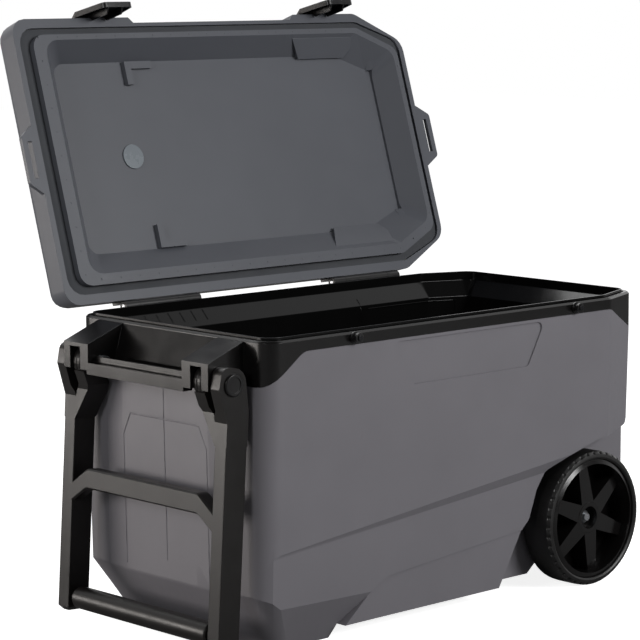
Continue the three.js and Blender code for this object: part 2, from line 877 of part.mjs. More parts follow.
const lugBlock = (side, grow) => {
  const outline = drawnIn(lugProfile().map(([x, y]) => ({ x, y })), -grow);
  return sidePiece(rounded(outline), ...ySpan(side, lugInnerY - grow, lugOuterY + grow));
};

function lugSlot(side) {
  const footZ = rim.lowZ - overrun;
  const [near, far] = ySpan(side, slotY, slotOuterY);
  return block(lug.frontX - overrun, lug.pocketX, near, far, footZ, lug.slotTopZ);
}

function liftBar() {
  const outline = [
    [lug.frontX, grip.footZ],
    [grip.backX, grip.footZ],
    [grip.backX, grip.railZ],
    [grip.railX, grip.railZ],
    [grip.railX, grip.grooveZ],
    [grip.lipX, grip.grooveZ],
    [grip.lipX, grip.lipZ],
    [lug.frontX, grip.lipZ],
  ];
  return sidePiece(outline, -lugInnerY - skin, lugInnerY + skin);
}

function scoopWall(grow) {
  const corners = [
    { x: grip.wallX, y: rim.lowZ + seat },
    { x: linerHandleX, y: rim.lowZ + seat },
    { x: linerHandleX, y: rim.ledgeZ - rim.rebateDepth },
    { x: lug.crownX, y: rim.ledgeZ - rim.rebateDepth },
    { x: grip.wallX, y: grip.scoopZ },
  ];
  const half = lugInnerY + skin + grow;
  return sidePiece(rounded(drawnIn(corners, -grow)), -half, half);
}

function rimFrame() {
  const outer = loft([
    tubRing(rim.highZ, rim.inset, rim.lowZ - overrun),
    tubRing(rim.highZ, rim.inset),
    tubRing(rim.highZ, rim.inset, rim.ledgeZ - rim.bevel),
    tubRing(rim.highZ, rim.inset + rim.bevel, rim.ledgeZ),
  ]);
  const ring = outer.intersect(rimZone(seat));
  const lugs = bothSides((side) => lugBlock(side, 0));
  const whole = join(ring, lugs, liftBar(), scoopWall(0));
  const hole = slab(rounded(linerCorners(-seat)), rim.highZ - overrun, liner.ridgeZ);
  const innerTopZ = rim.highZ - rim.bevel;
  const inner = slab(rounded(linerCorners(-seat)), 0, innerTopZ);
  const groove = slab(rounded(linerCorners(-rim.rebate)), rim.ledgeZ - rim.rebateDepth, liner.ridgeZ);
  const backs = bothSides((side) => {
    const [near, far] = ySpan(side, lugInnerY, lugOuterY);
    return block(lug.pocketX, lug.backX, near, far, lug.footZ, lug.noseZ);
  });
  const open = join(hole, cut(inner, backs), groove);
  const stud = (x) => rod(keeper.bore, -tub.halfDepth, -linerHalf, 'y', x, 0, keeper.z, 12);
  const boreEnd = lugOuterY + overrun;
  const pins = rod(pivot.radius + running, -boreEnd, boreEnd, 'y', handle.pivotX, 0, handle.pivotZ);
  const between = block(lug.frontX, lug.backX, -lugInnerY + skin, lugInnerY - skin, 0, rim.ledgeZ);
  const bores = cut(pins, between);
  return cut(whole, open, lugSlot(1), lugSlot(-1), bores, ...latchXs.map(stud));
}

function bodyFoam() {
  const clear = skin + seat;
  const frameSpace = cut(rimZone(-seat), slab(rounded(linerCorners(seat)), 0, liner.ridgeZ + overrun));
  const lugSpace = join(bothSides((side) => lugBlock(side, seat)), scoopWall(seat));
  const far = 2 * tub.wheelX;
  const top = block(-far, far, -far, far, liner.lipZ - rim.bevel, 2 * liner.ridgeZ);
  const filled = cut(tubForm(clear), linerForm(-seat, liner.ridgeZ + overrun), frameSpace, lugSpace, top);
  return cut(filled, drainBore(seat));
}

// Keepers: studs on the frame that the latches snap over
function keeperStud(x) {
  const footY = -frameFace - seat;
  const neckY = footY - keeper.flangeThick;
  const profile = [
    [keeper.bore, footY],
    [keeper.flange, footY],
    [keeper.flange, neckY],
    [keeper.neck, neckY],
    [keeper.neck, keeperHeadY],
    [keeper.head, keeperHeadY],
    [keeper.head, keeperEndY],
    [keeper.bore, keeperEndY],
    [keeper.bore, footY],
  ];
  return turned(profile, 'y', x, 0, keeper.z, 24);
}

function keeperScrew(x) {
  const headY = keeperEndY - seat;
  const profile = [
    [0, -frameFace + keeper.screwDepth],
    [keeper.screw, -frameFace + keeper.screwDepth],
    [keeper.screw, headY],
    [keeper.screwHead, headY],
    [keeper.screwHead, headY - keeper.screwHeadThick],
    [0, headY - keeper.screwHeadThick],
  ];
  return turned(profile, 'y', x, 0, keeper.z, 20);
}

// Lid, built closed
const lidPivot = new THREE.Vector3(0, hingeY, lid.z);

function lidRing(z, inset) {
  const corners = [
    { x: lidHandleX, y: -lidHalf, r: lid.radius },
    { x: lidCutX, y: -lidHalf, r: lid.cutRadius },
    { x: tub.wheelX, y: -lidCutY, r: lid.cutRadius },
    { x: tub.wheelX, y: lidCutY, r: lid.cutRadius },
    { x: lidCutX, y: lidHalf, r: lid.cutRadius },
    { x: lidHandleX, y: lidHalf, r: lid.radius },
  ];
  return level(rounded(drawnIn(corners, inset)), z);
}

// The hollow in the front edge, sloping back out at its ends and its top
function grabCut(grow) {
  const outerY = -lidHalf - overrun;
  const innerY = -lidHalf + grab.depth + grow;
  const lowZ = lid.z - overrun;
  const section = (y, lift) => acrossY([
    [grab.leftX - grow - lift, lowZ],
    [grab.rightX + grow + lift, lowZ],
    [grab.rightX + grow + lift, grab.topZ + grow + lift],
    [grab.leftX - grow - lift, grab.topZ + grow + lift],
  ], y);
  return loft([section(outerY, grab.depth + overrun), section(innerY, 0)]);
}

function latchPocket(x, grow) {
  const half = pocketHalf + grow;
  const innerY = -lidHalf + latch.pocketDepth + grow;
  const lowZ = latch.pocketZ - grow;
  return block(x - half, x + half, -lidHalf - overrun, innerY, lowZ, latch.pocketTopZ + grow);
}

function lidForm(inset) {
  const whole = loft([
    lidRing(lid.z, inset),
    lidRing(lid.sideZ, inset + lid.sideIn),
    lidRing(lid.shoulderZ - inset, inset + lid.shoulderIn),
    lidRing(lid.edgeZ - inset, inset + lid.edgeIn),
    lidRing(lid.topZ - inset, inset + lid.crownIn),
  ]);
  return cut(whole, grabCut(inset), ...latchXs.map((x) => latchPocket(x, inset)));
}

function strapTab(side) {
  const reach = side > 0 ? tab.wheelReach : tab.handleReach;
  const edgeX = side > 0 ? tub.wheelX : -lidHandleX;
  const noseX = side * (edgeX + reach);
  const rootX = side * (edgeX - skin);
  const noseHalf = tab.halfLength - tab.taper;
  const slotHalf = noseHalf - tab.slotWall;
  const points = [
    { x: rootX, y: tab.y - side * tab.halfLength },
    { x: noseX, y: tab.y - side * noseHalf, r: tab.thick },
    { x: noseX, y: tab.y + side * noseHalf, r: tab.thick },
    { x: rootX, y: tab.y + side * tab.halfLength },
  ];
  const slotX = noseX - side * tab.slotIn;
  const slotX2 = slotX - side * tab.slotWide;
  const [low, high] = [Math.min(slotX, slotX2), Math.max(slotX, slotX2)];
  const loop = slab(rounded(points), lid.z, lid.z + tab.thick);
  const slot = block(low, high, tab.y - slotHalf, tab.y + slotHalf, rim.ledgeZ, lid.sideZ);
  return cut(loop, slot);
}

function lidShell() {
  const outer = join(lidForm(0), strapTab(1), strapTab(-1));
  const flange = slab(rounded(linerCorners(-2 * lidHalf)), 0, lid.z + lid.flangeThick);
  const room = cut(lidForm(skin), flange);
  const hole = slab(rounded(linerCorners(-tray.reach)), lid.z - overrun, lid.z + 2 * lid.flangeThick);
  const pins = latchXs.map((x) => {
    const end = pocketHalf + skin;
    return rod(latch.pin + seat, x - end, x + end, 'x', 0, latchPinY, latch.pinZ, 12);
  });
  return cut(outer, room, hole, ...pins);
}

// Outlines of the tray, set in from the tub's ridge
function trayCorners(place) {
  const handleX = linerHandleX + place.handleIn;
  const cutX = linerCutX - place.cutIn;
  const endX = linerWheelX - place.wheelIn;
  return [
    { x: handleX, y: place.frontIn - linerHalf, r: place.r },
    { x: cutX, y: place.frontIn - linerHalf, r: place.r },
    { x: endX, y: place.cutFrontIn - linerCutY, r: place.r },
    { x: endX, y: linerCutY - place.cutBackIn, r: place.r },
    { x: cutX, y: linerHalf - place.backIn, r: place.r },
    { x: handleX, y: linerHalf - place.backIn, r: place.r },
  ];
}

function trayHollow(grow) {
  const ring = (place, z) => level(rounded(drawnIn(trayCorners(place), -grow)), z);
  const lowZ = tray.ridgeZ - grow;
  return loft([ring(edge, lowZ), ring(edge, tray.ridgeZ), ring(floor, tray.floorZ + grow)]);
}

const troughCut = (grow) => {
  const half = trough.wide / 2 + grow;
  const y = (floor.frontIn - floor.backIn) / 2;
  const topZ = tray.floorZ + trough.depth + grow;
  const run = linerHalf - (floor.frontIn + floor.backIn) / 2 - trough.endIn + grow;
  return block(trough.x - half, trough.x + half, y - run, y + run, tray.ridgeZ, topZ);
};

// Raised pads on the tray's two long walls, and the angle ribs at its corners
function trayPads() {
  const z0 = tray.ridgeZ;
  const wall = (edgeY, floorY, sign) => {
    const section = (y, z, x0, x1) => [[x0, y], [x1, y]].map(([x, at]) => new THREE.Vector3(x, at, z));
    const top = section(edgeY + sign * wallPad.proud, z0 + overrun, wallPad.x, wallPad.endX);
    const foot = section(floorY + sign * wallPad.proud, wallPad.footZ, wallPad.footX, wallPad.footEndX);
    const backTop = section(edgeY - sign * tray.skin, z0 + overrun, wallPad.x, wallPad.endX);
    const backFoot = section(floorY - sign * tray.skin, tray.floorZ + lap, wallPad.footX, wallPad.footEndX);
    return loft([
      [backTop[0], top[0], foot[0], backFoot[0]],
      [backTop[1], top[1], foot[1], backFoot[1]],
    ]);
  };
  const front = wall(edge.frontIn - linerHalf, floor.frontIn - linerHalf, 1);
  const back = wall(linerHalf - edge.backIn, linerHalf - floor.backIn, -1);
  const angle = (y, sign) => {
    const outer = y;
    const near = outer + sign * cornerRib.wide;
    const far = outer + sign * cornerRib.shortArm;
    const x = cornerRib.x;
    const z1 = tray.floorZ + lap;
    const lowZ = tray.floorZ - cornerRib.height;
    const long = block(x, x + cornerRib.longArm, Math.min(outer, near), Math.max(outer, near), lowZ, z1);
    const short = block(x, x + cornerRib.wide, Math.min(outer, far), Math.max(outer, far), lowZ, z1);
    return join(long, short);
  };
  const frontY = floor.frontIn - linerHalf + cornerRib.frontIn;
  const backY = linerHalf - floor.backIn - cornerRib.backIn;
  return join(front, back, angle(frontY, 1), angle(backY, -1));
}

const plugBore = (radius) =>
  rod(radius, tray.ridgeZ, tray.floorZ + 2 * tray.skin, 'z', fillPlug.x, fillPlug.y, 0, 24);

function trayForm() {
  const plateOutline = rounded(linerCorners(-tray.reach + seat));
  const flat = slab(plateOutline, tray.channelZ, tray.channelZ + tray.skin);
  const ridge = slab(rounded(trayCorners(channel)), tray.ridgeZ, tray.channelZ + tray.skin);
  const hollow = trayHollow(tray.skin).intersect(layer(tray.ridgeZ, 2 * tray.floorZ));
  return join(flat, ridge, hollow, troughCut(tray.skin).intersect(layer(tray.floorZ, 2 * tray.floorZ)));
}

// Everything between two heights
function layer(low, high) {
  const far = 2 * tub.wheelX;
  return block(-far, far, -far, far, low, high);
}

function lidTray() {
  const mouth = slab(rounded(trayCorners(edge)), tray.ridgeZ - overrun, tray.ridgeZ);
  const open = join(trayHollow(0).intersect(layer(0, tray.floorZ)), troughCut(0), mouth);
  const pads = trayPads().intersect(trayForm());
  const hollow = cut(open, trayPads());
  return cut(join(trayForm(), pads), hollow, plugBore(stemR + seat));
}

function lidFoam() {
  const lowZ = lid.z + lid.flangeThick + seat;
  const above = layer(lowZ, 2 * tray.floorZ);
  const hole = slab(rounded(linerCorners(-tray.reach - seat)), 0, tray.channelZ + tray.skin + seat);
  const room = lidForm(skin + seat).intersect(above);
  const swollen = join(trayHollow(tray.skin + seat), troughCut(tray.skin + seat));
  return cut(room, hole, swollen, plugBore(stemR + lap));
}

function lidGasket() {
  const outer = rounded(linerCorners(-tray.reach + 2 * seat));
  const inner = rounded(drawnIn(trayCorners(channel), -seat));
  const topZ = tray.channelZ - seat;
  return cut(slab(outer, topZ - tray.gasket, topZ), slab(inner, 0, tray.floorZ));
}

function trayPlug() {
  const faceZ = tray.floorZ - seat;
  const profile = [
    [0, faceZ - fillPlug.thick],
    [fillPlug.radius, faceZ - fillPlug.thick],
    [fillPlug.radius, faceZ],
    [stemR, faceZ],
    [stemR, faceZ + fillPlug.stem],
    [0, faceZ + fillPlug.stem],
  ];
  return turned(profile, 'z', fillPlug.x, fillPlug.y, 0, 28);
}

// Hinges: the outer knuckles belong to the tub and the middle one to the lid
const hingeBore = (x) => rod(hinge.pin + seat, -tub.wheelX, tub.wheelX, 'x', x, hingeY, lid.z, 16);
const knuckle = (x, from, to, radius) => rod(radius, from, to, 'x', x, hingeY, lid.z, 24);

function tubLeaf(x) {
  const nearY = tub.halfDepth + seat;
  const farY = nearY + hinge.leafThick;
  const plateOutline = [[nearY, hinge.leafZ], [farY, hinge.leafZ], [farY, hinge.topZ], [nearY, hinge.topZ]];
  const armTop = [hingeY - hinge.armIn, hinge.topZ - 2 * seat];
  const armOutline = [[nearY, hinge.armZ], [farY, hinge.armZ], armTop, [nearY, hinge.topZ]];
  const plateBody = endPiece(plateOutline, x - hinge.outerEnd, x + hinge.outerEnd);
  const arms = [-1, 1].map((side) => {
    const [from, to] = ySpan(side, hingeCentre + running, hinge.outerEnd);
    return join(endPiece(armOutline, x + from, x + to), knuckle(x, from, to, hinge.knuckle));
  });
  return cut(join(plateBody, ...arms), hingeBore(x));
}

function lidLeaf(x) {
  const faceAt = (z) => lidHalf + seat - (lid.sideIn * (z - lid.z)) / (lid.sideZ - lid.z);
  const outerY = lidHalf + seat + hinge.leafThick;
  const lowZ = lid.z + seat;
  const topZ = hinge.lidLeafZ;
  const outline = [[faceAt(lowZ), lowZ], [outerY, lowZ], [outerY, topZ], [faceAt(topZ), topZ]];
  const whole = endPiece(outline, x - hinge.outerEnd, x + hinge.outerEnd);
  const clear = [-1, 1].map((side) => {
    const [from, to] = ySpan(side, hingeCentre, hinge.outerEnd + overrun);
    return knuckle(x, from, to, hinge.knuckle + running);
  });
  const middle = knuckle(x, -hingeCentre, hingeCentre, hinge.knuckle);
  return cut(join(cut(whole, ...clear), middle), hingeBore(x));
}

const hingePin = (x) => rod(hinge.pin, -hinge.outerEnd, hinge.outerEnd, 'x', x, hingeY, lid.z, 16);

// Latches, built closed over their keepers
function latchBody(x) {
  const backY = latchOuterY + latch.plate;
  const y0 = latchPinY;
  const side = [
    [latchOuterY, latch.tipZ],
    [backY, latch.tipZ],
    [backY, latch.shoulderZ],
    [y0 + latch.barrel, latch.pinZ],
    [y0 - latch.barrel, latch.pinZ],
    [latchOuterY, latch.shoulderZ],
  ];
  const wide = latch.topHalf;
  const tipHalf = wide - latch.taper;
  const ribY = -frameFace - latch.ribGap;
  const taper = [
    { x: x - tipHalf, y: latch.tipZ, r: latch.tipRadius },
    { x: x + tipHalf, y: latch.tipZ, r: latch.tipRadius },
    { x: x + wide, y: latch.shoulderZ, r: latch.tipRadius },
    { x: x + wide, y: latch.pinZ + latch.barrel },
    { x: x - wide, y: latch.pinZ + latch.barrel },
    { x: x - wide, y: latch.shoulderZ, r: latch.tipRadius },
  ];
  const barrel = rod(latch.barrel, x - wide, x + wide, 'x', 0, y0, latch.pinZ, 20);
  const ribs = [-1, 1].map((sign) => {
    const at = sign * latch.ribX_share * tipHalf;
    const outline = [
      [backY - lap, latch.ribFootZ],
      [ribY, latch.ribFootZ + latch.tipRadius],
      [ribY, latch.shoulderZ - latch.tipRadius],
      [backY - lap, latch.shoulderZ],
    ];
    return endPiece(outline, x + at - latch.rib / 2, x + at + latch.rib / 2);
  });
  const rimY = latchOuterY + latch.rimDeep;
  const hollow = sidePiece(rounded(drawnIn(taper, latch.rimWall)), backY, rimY + overrun);
  const deep = sidePiece(rounded(taper), latchOuterY, rimY).intersect(layer(latch.tipZ, latch.shoulderZ));
  const cap = cut(deep, hollow);
  const outlineBox = sidePiece(rounded(taper), latchOuterY - overrun, y0 + 2 * latch.barrel);
  const body = join(endPiece(side, x - wide, x + wide), barrel, cap, ...ribs).intersect(outlineBox);
  return cut(body, rod(latch.pin + seat, x - 2 * wide, x + 2 * wide, 'x', 0, y0, latch.pinZ, 12));
}

const latchPin = (x) => {
  const end = pocketHalf + skin - seat;
  return rod(latch.pin, x - end, x + end, 'x', 0, latchPinY, latch.pinZ, 12);
};

// Tow handle, built plumb
function forkArm(side) {
  const topZ = handle.pivotZ + handle.headRadius;
  const yOf = (y) => side * y;
  const front = [
    [yOf(discY), topZ + overrun],
    [yOf(discY), handle.forkTopZ + handle.crotchDrop],
    [yOf(handleInnerY), handle.forkZ],
    [yOf(handleOuterY), handle.forkZ],
    [yOf(handleOuterY), topZ + overrun],
    [yOf(plateY), topZ + overrun],
    [yOf(plateY), handle.forkTopZ],
    [yOf(handleInnerY - lap), handle.crotchZ],
    [yOf(discOuterY), handle.forkTopZ + handle.crotchDrop],
    [yOf(discOuterY), topZ + overrun],
  ];
  const both = endPiece(front, handle.hornX - overrun, handle.backX);
  const horn = [
    { x: handle.backX, y: handle.forkZ },
    { x: handle.backX, y: handle.forkTopZ },
    { x: handle.pivotX + handle.headRadius, y: handle.pivotZ, r: handle.headRadius / 2 },
    { x: handle.pivotX + handle.headRadius, y: topZ, r: handle.headRadius },
    { x: handle.hornX + handle.hornTip, y: topZ, r: handle.headRadius / 2 },
    { x: handle.hornX, y: handle.hornZ - handle.headRadius, r: handle.headRadius / 4 },
    { x: handle.frontX, y: handle.hornFootZ },
    { x: handle.frontX, y: handle.forkZ },
  ].reverse();
  const split = side * handleInnerY;
  const outerY = handleOuterY + overrun;
  const outerHalf = sidePiece(rounded(horn), ...ySpan(side, handleInnerY - lap, outerY));
  const stem = [
    { x: handle.backX, y: handle.forkZ },
    { x: handle.backX, y: handle.forkTopZ - handle.crotchDrop },
    { x: handle.pivotX + discR - handle.edge, y: handle.forkTopZ + handle.headRadius },
    { x: handle.pivotX - discR + handle.edge, y: handle.forkTopZ + handle.headRadius },
    { x: handle.frontX, y: handle.forkTopZ - handle.crotchDrop },
    { x: handle.frontX, y: handle.forkZ },
  ].reverse();
  const innerSpan = ySpan(side, discY - overrun, Math.abs(split));
  const stemBody = sidePiece(rounded(stem), ...innerSpan);
  const disc = rod(discR, ...innerSpan, 'y', handle.pivotX, 0, handle.pivotZ, 32);
  return both.intersect(join(outerHalf, stemBody, disc));
}

function armLoft(side) {
  const ring = (z, inset) => {
    const [low, high] = ySpan(side, handleInnerY, handleOuterY);
    const corners = [
      { x: handle.frontX, y: low, r: handle.edge },
      { x: handle.backX, y: low, r: handle.edge },
      { x: handle.backX, y: high, r: handle.edge },
      { x: handle.frontX, y: high, r: handle.edge },
    ];
    return level(rounded(drawnIn(corners, inset), 2), z);
  };
  return loft([
    ring(handle.footZ, handle.footIn),
    ring(handle.footZ + handle.footIn, 0),
    ring(handle.forkZ + lap, 0),
  ]);
}

function crossbar() {
  const end = barBendY + handle.barRun;
  const corners = [
    { x: -end, y: handle.barZ - handle.barDrop },
    { x: -barBendY, y: handle.barZ, r: handle.sleeve },
    { x: barBendY, y: handle.barZ, r: handle.sleeve },
    { x: end, y: handle.barZ - handle.barDrop },
    { x: end, y: handle.barTopZ - handle.barDrop },
    { x: barBendY, y: handle.barTopZ, r: handle.sleeve },
    { x: -barBendY, y: handle.barTopZ, r: handle.sleeve },
    { x: -end, y: handle.barTopZ - handle.barDrop },
  ];
  return softPiece(acrossX, corners, handle.frontX, handle.barBackX, handle.edge);
}

function towHandle() {
  const arms = bothSides((side) => join(forkArm(side), armLoft(side)));
  const coreEnd = handleInnerY + lap;
  const core = rod(handle.core, -coreEnd, coreEnd, 'y', handle.gripX, 0, handle.gripZ, 24);
  const bore = pivot.radius + running;
  const far = handleOuterY + overrun;
  const pins = rod(bore, -far, far, 'y', handle.pivotX, 0, handle.pivotZ, 24);
  return cut(join(arms, crossbar(), core), pins);
}

function gripSleeve() {
  const end = sleeveEndY;
  const profile = [
    [handle.core + seat, -end],
    [handle.sleeve - handle.edge, -end],
    [handle.sleeve, -end + handle.edge],
    [handle.sleeve, end - handle.edge],
    [handle.sleeve - handle.edge, end],
    [handle.core + seat, end],
    [handle.core + seat, -end],
  ];
  return turned(profile, 'y', handle.gripX, 0, handle.gripZ, 28);
}

function pivotBolt(side) {
  const capY = handleOuterY + seat;
  const inner = lugInnerY - seat - pivot.nutThick - pivot.capThick;
  const profile = [
    [0, side * inner],
    [pivot.radius, side * inner],
    [pivot.radius, side * capY],
    [pivot.head, side * capY],
    [pivot.head, side * (capY + pivot.headThick - pivot.capThick)],
    [pivot.head - pivot.capThick, side * (capY + pivot.headThick)],
    [pivot.cap, side * (capY + pivot.headThick)],
    [pivot.cap, side * (capY + pivot.headThick - pivot.capThick)],
    [0, side * (capY + pivot.headThick - pivot.capThick)],
  ];
  return turned(profile, 'y', handle.pivotX, 0, handle.pivotZ, 28);
}

function pivotNut(side) {
  const far = side * (lugInnerY - seat);
  const near = side * (lugInnerY - seat - pivot.nutThick);
  const bore = pivot.radius + seat;
  const outer = pivot.radius + pivot.nutWide;
  const profile = [[bore, near], [outer, near], [outer, far], [bore, far], [bore, near]];
  return turned(profile, 'y', handle.pivotX, 0, handle.pivotZ, 24);
}

// Wheels
const ringOf = (profile, side, segments) =>
  turned(profile.map(([r, y]) => [r, side * y]), 'y', wheel.x, 0, wheelZ, segments);

function wheelHub(side) {
  const backY = wheelInnerY + wheel.tyreLap;
  const lipY = wheelOuterY - rimWheel.lipDepth;
  const ringR = beadR - seat;
  const rimBody = ringOf([
    [lipR, backY],
    [ringR, backY],
    [ringR, lipY],
    [lipR + rimWheel.edge, wheelOuterY - rimWheel.edge],
    [lipR, lipY],
    [lipR, backY],
  ], side, 56);
  const webR = lipR + lap;
  const webFarY = webY + rimWheel.web;
  const web = ringOf([[0, webY], [webR, webY], [webR, webFarY], [0, webFarY]], side, 40);
  const barrel = ringOf([
    [0, hubInnerY],
    [rimWheel.recess, hubInnerY],
    [rimWheel.hub, webY],
    [rimWheel.hub, hubY - rimWheel.hubEdge],
    [rimWheel.hub - rimWheel.hubEdge, hubY],
    [rimWheel.recess, hubY],
    [rimWheel.recess, recessY],
    [0, recessY],
  ], side, 36);
  const spokes = Array.from({ length: rimWheel.spokes }, (_, i) => spoke(side, i));
  const whole = join(rimBody, web, barrel, ...spokes);
  return cut(whole, rod(axle.radius + running, -wheelOuterY, wheelOuterY, 'y', wheel.x, 0, wheelZ, 24));
}

function spoke(side, i) {
  const turn = THREE.MathUtils.degToRad(rimWheel.spokeTurnDeg + (360 / rimWheel.spokes) * i);
  const at = (along, across) => {
    const point = new THREE.Vector2(along, across).rotateAround(new THREE.Vector2(), turn);
    return [wheel.x + point.x, wheelZ + point.y];
  };
  const hubR = (rimWheel.recess + rimWheel.hub) / 2;
  const rimR = lipR + lap;
  const flare = rimWheel.spokeFlare;
  const [a, b] = [rimWheel.spokeHubHalf, rimWheel.spokeRimHalf];
  const front = [at(hubR, -a), at(rimR, -b), at(rimR, b), at(hubR, a)];
  const back = [at(hubR, -a - flare), at(rimR, -b - flare), at(rimR, b + flare), at(hubR, a + flare)];
  const depth = [spokeY, spokeRimY, spokeRimY, spokeY];
  const face = front.map(([x, z], k) => new THREE.Vector3(x, side * depth[k], z));
  return loft([acrossY(back, side * (webY + rimWheel.web / 2)), face]);
}

function tyre(side) {
  const { radius, shoulder, crownDrop, crownRun, crownIn, tyreLap } = wheel;
  const wallR = beadR + skin;
  const crownR = radius - crownDrop;
  const shoulderR = radius - shoulder;
  return ringOf([
    [beadR, wheelInnerY + tyreLap],
    [wallR, wheelInnerY],
    [shoulderR, wheelInnerY + lap],
    [crownR, wheelInnerY + crownRun],
    [radius, wheelInnerY + crownIn],
    [radius, wheelOuterY - crownIn],
    [crownR, wheelOuterY - crownRun],
    [shoulderR, wheelOuterY - lap],
    [wallR, wheelOuterY],
    [beadR, wheelOuterY - tyreLap],
    [beadR, wheelInnerY + tyreLap],
  ], side, 64);
}

const axleRod = () => {
  const end = axleEndY;
  const profile = [
    [0, -end],
    [axle.radius - axle.chamfer, -end],
    [axle.radius, -end + axle.chamfer],
    [axle.radius, end - axle.chamfer],
    [axle.radius - axle.chamfer, end],
    [0, end],
  ];
  return turned(profile, 'y', wheel.x, 0, wheelZ, 20);
};

function pushNut(side) {
  const bore = axle.radius + seat;
  const outer = bore + axle.nutWide;
  const far = nutY + axle.nutThick;
  return ringOf([[bore, nutY], [outer, nutY], [bore + lap, far], [bore, far], [bore, nutY]], side, 24);
}

function axleWasher(side) {
  const bore = axle.radius + seat;
  const near = wellY + seat;
  const far = near + washer.thick;
  const outer = washer.radius;
  return ringOf([[bore, near], [outer, near], [outer, far], [bore, far], [bore, near]], side, 24);
}

// Drain, through the back wall by the tow handle. The nut lies against the liner's sloping wall.
const drainNutZ = drain.z - drain.tube - drain.nutWide;
const linerInsideY = linerHalf - liner.wall - liner.shoulderIn - liner.draftShare * (liner.shoulderZ - drainNutZ);
const drainNutFarY = linerInsideY - seat;
const drainNutY = drainNutFarY - drain.nutThick;
const drainInnerY = drainNutY - drain.tail;
const drainRing = (profile, segments = 28) => turned(profile, 'y', drain.x, 0, drain.z, segments);

function drainTube() {
  const flangeY = drainSeatY + seat + drain.seal + seat;
  const farY = flangeY + drain.flangeThick;
  return drainRing([
    [drainBoreR, drainInnerY],
    [drain.tube, drainInnerY],
    [drain.tube, flangeY],
    [drainFlangeR, flangeY],
    [drainFlangeR, farY],
    [drain.tube, farY],
    [drain.tube, drainEndY],
    [drainBoreR, drainEndY],
    [drainBoreR, drainInnerY],
  ]);
}

function drainSeal() {
  const near = drainSeatY + seat;
  const bore = drain.tube + seat;
  const far = near + drain.seal;
  return drainRing([[bore, near], [drainFlangeR, near], [drainFlangeR, far], [bore, far], [bore, near]]);
}

function drainNut() {
  const outer = drain.tube + drain.nutWide;
  const whole = drainRing([[0, drainNutY], [outer, drainNutY], [outer, drainNutFarY], [0, drainNutFarY]], 8);
  return cut(whole, drainBore(seat));
}

function drainCapSeal() {
  const near = drainEndY + seat;
  const far = near + drain.capSeal;
  const inner = drainBoreR;
  return drainRing([[inner, near], [drain.tube, near], [drain.tube, far], [inner, far], [inner, near]]);
}

function drainCap() {
  const near = drainSeatY + 3 * seat + drain.seal + drain.flangeThick;
  const roof = drainEndY + seat + drain.capSeal + seat;
  const farY = roof + drain.capWall;
  const radius = drain.tube + drain.capWide;
  const bore = drain.tube + seat;
  const outer = drainRing([[0, near], [radius, near], [radius, farY], [0, farY]], 12);
  return cut(outer, drainRing([[0, 0], [bore, 0], [bore, roof], [0, roof]]));
}

// Assembly
place(cooler, 'body_shell', bodyShell(), greyShell);
place(cooler, 'body_foam', bodyFoam(), foam);
place(cooler, 'body_liner', bodyLiner(), blackLiner);
place(cooler, 'rim_frame', rimFrame(), blackFrame);
place(cooler, 'axle', axleRod(), steel);
place(cooler, 'drain_tube', drainTube(), blackLiner);
place(cooler, 'drain_seal', drainSeal(), sealRubber);
place(cooler, 'drain_nut', drainNut(), blackLiner);
place(cooler, 'drain_cap_seal', drainCapSeal(), sealRubber);
place(cooler, 'drain_cap', drainCap(), blackLiner);

const lidGroup = new THREE.Group();
lidGroup.position.copy(lidPivot);
lidGroup.rotation.x = THREE.MathUtils.degToRad(-lid.openDeg);
cooler.add(lidGroup);
place(lidGroup, 'lid_shell', lidShell(), greyLid, lidPivot);
place(lidGroup, 'lid_foam', lidFoam(), foam, lidPivot);
place(lidGroup, 'lid_tray', lidTray(), greyLid, lidPivot);
place(lidGroup, 'lid_gasket', lidGasket(), sealRubber, lidPivot);
place(lidGroup, 'lid_plug', trayPlug(), plugPlastic, lidPivot);

const handlePivot = new THREE.Vector3(handle.pivotX, 0, handle.pivotZ);
const handleGroup = new THREE.Group();
handleGroup.position.copy(handlePivot);
handleGroup.rotation.y = THREE.MathUtils.degToRad(handle.leanDeg);
cooler.add(handleGroup);
place(handleGroup, 'tow_handle', towHandle(), handlePlastic, handlePivot);
place(handleGroup, 'tow_grip', gripSleeve(), handlePlastic, handlePivot);

[['left', 0], ['right', 1]].forEach(([end, i]) => {
  const x = latchXs[i];
  place(cooler, `keeper_${end}`, keeperStud(x), blackFrame);
  place(cooler, `keeper_screw_${end}`, keeperScrew(x), steel);
  place(lidGroup, `latch_pin_${end}`, latchPin(x), steel, lidPivot);
  place(cooler, `hinge_tub_leaf_${end}`, tubLeaf(hingeXs[i]), blackFrame);
  place(cooler, `hinge_pin_${end}`, hingePin(hingeXs[i]), steel);
  place(lidGroup, `hinge_lid_leaf_${end}`, lidLeaf(hingeXs[i]), blackFrame, lidPivot);
  const latchPivot = new THREE.Vector3(x, latchPinY, latch.pinZ);
  const latchGroup = new THREE.Group();
  latchGroup.position.copy(latchPivot).sub(lidPivot);
  latchGroup.rotation.x = THREE.MathUtils.degToRad(latch.leanDeg);
  lidGroup.add(latchGroup);
  place(latchGroup, `latch_${end}`, latchBody(x), blackFrame, latchPivot);
});

[['front', -1], ['back', 1]].forEach(([end, side]) => {
  place(cooler, `pivot_bolt_${end}`, pivotBolt(side), blackFrame);
  place(cooler, `pivot_nut_${end}`, pivotNut(side), steel);
  place(cooler, `axle_washer_${end}`, axleWasher(side), steel);
  place(cooler, `push_nut_${end}`, pushNut(side), steel);
  place(cooler, `wheel_hub_${end}`, wheelHub(side), wheelPlastic);
  place(cooler, `tyre_${end}`, tyre(side), tyreRubber);
});

export default cooler;
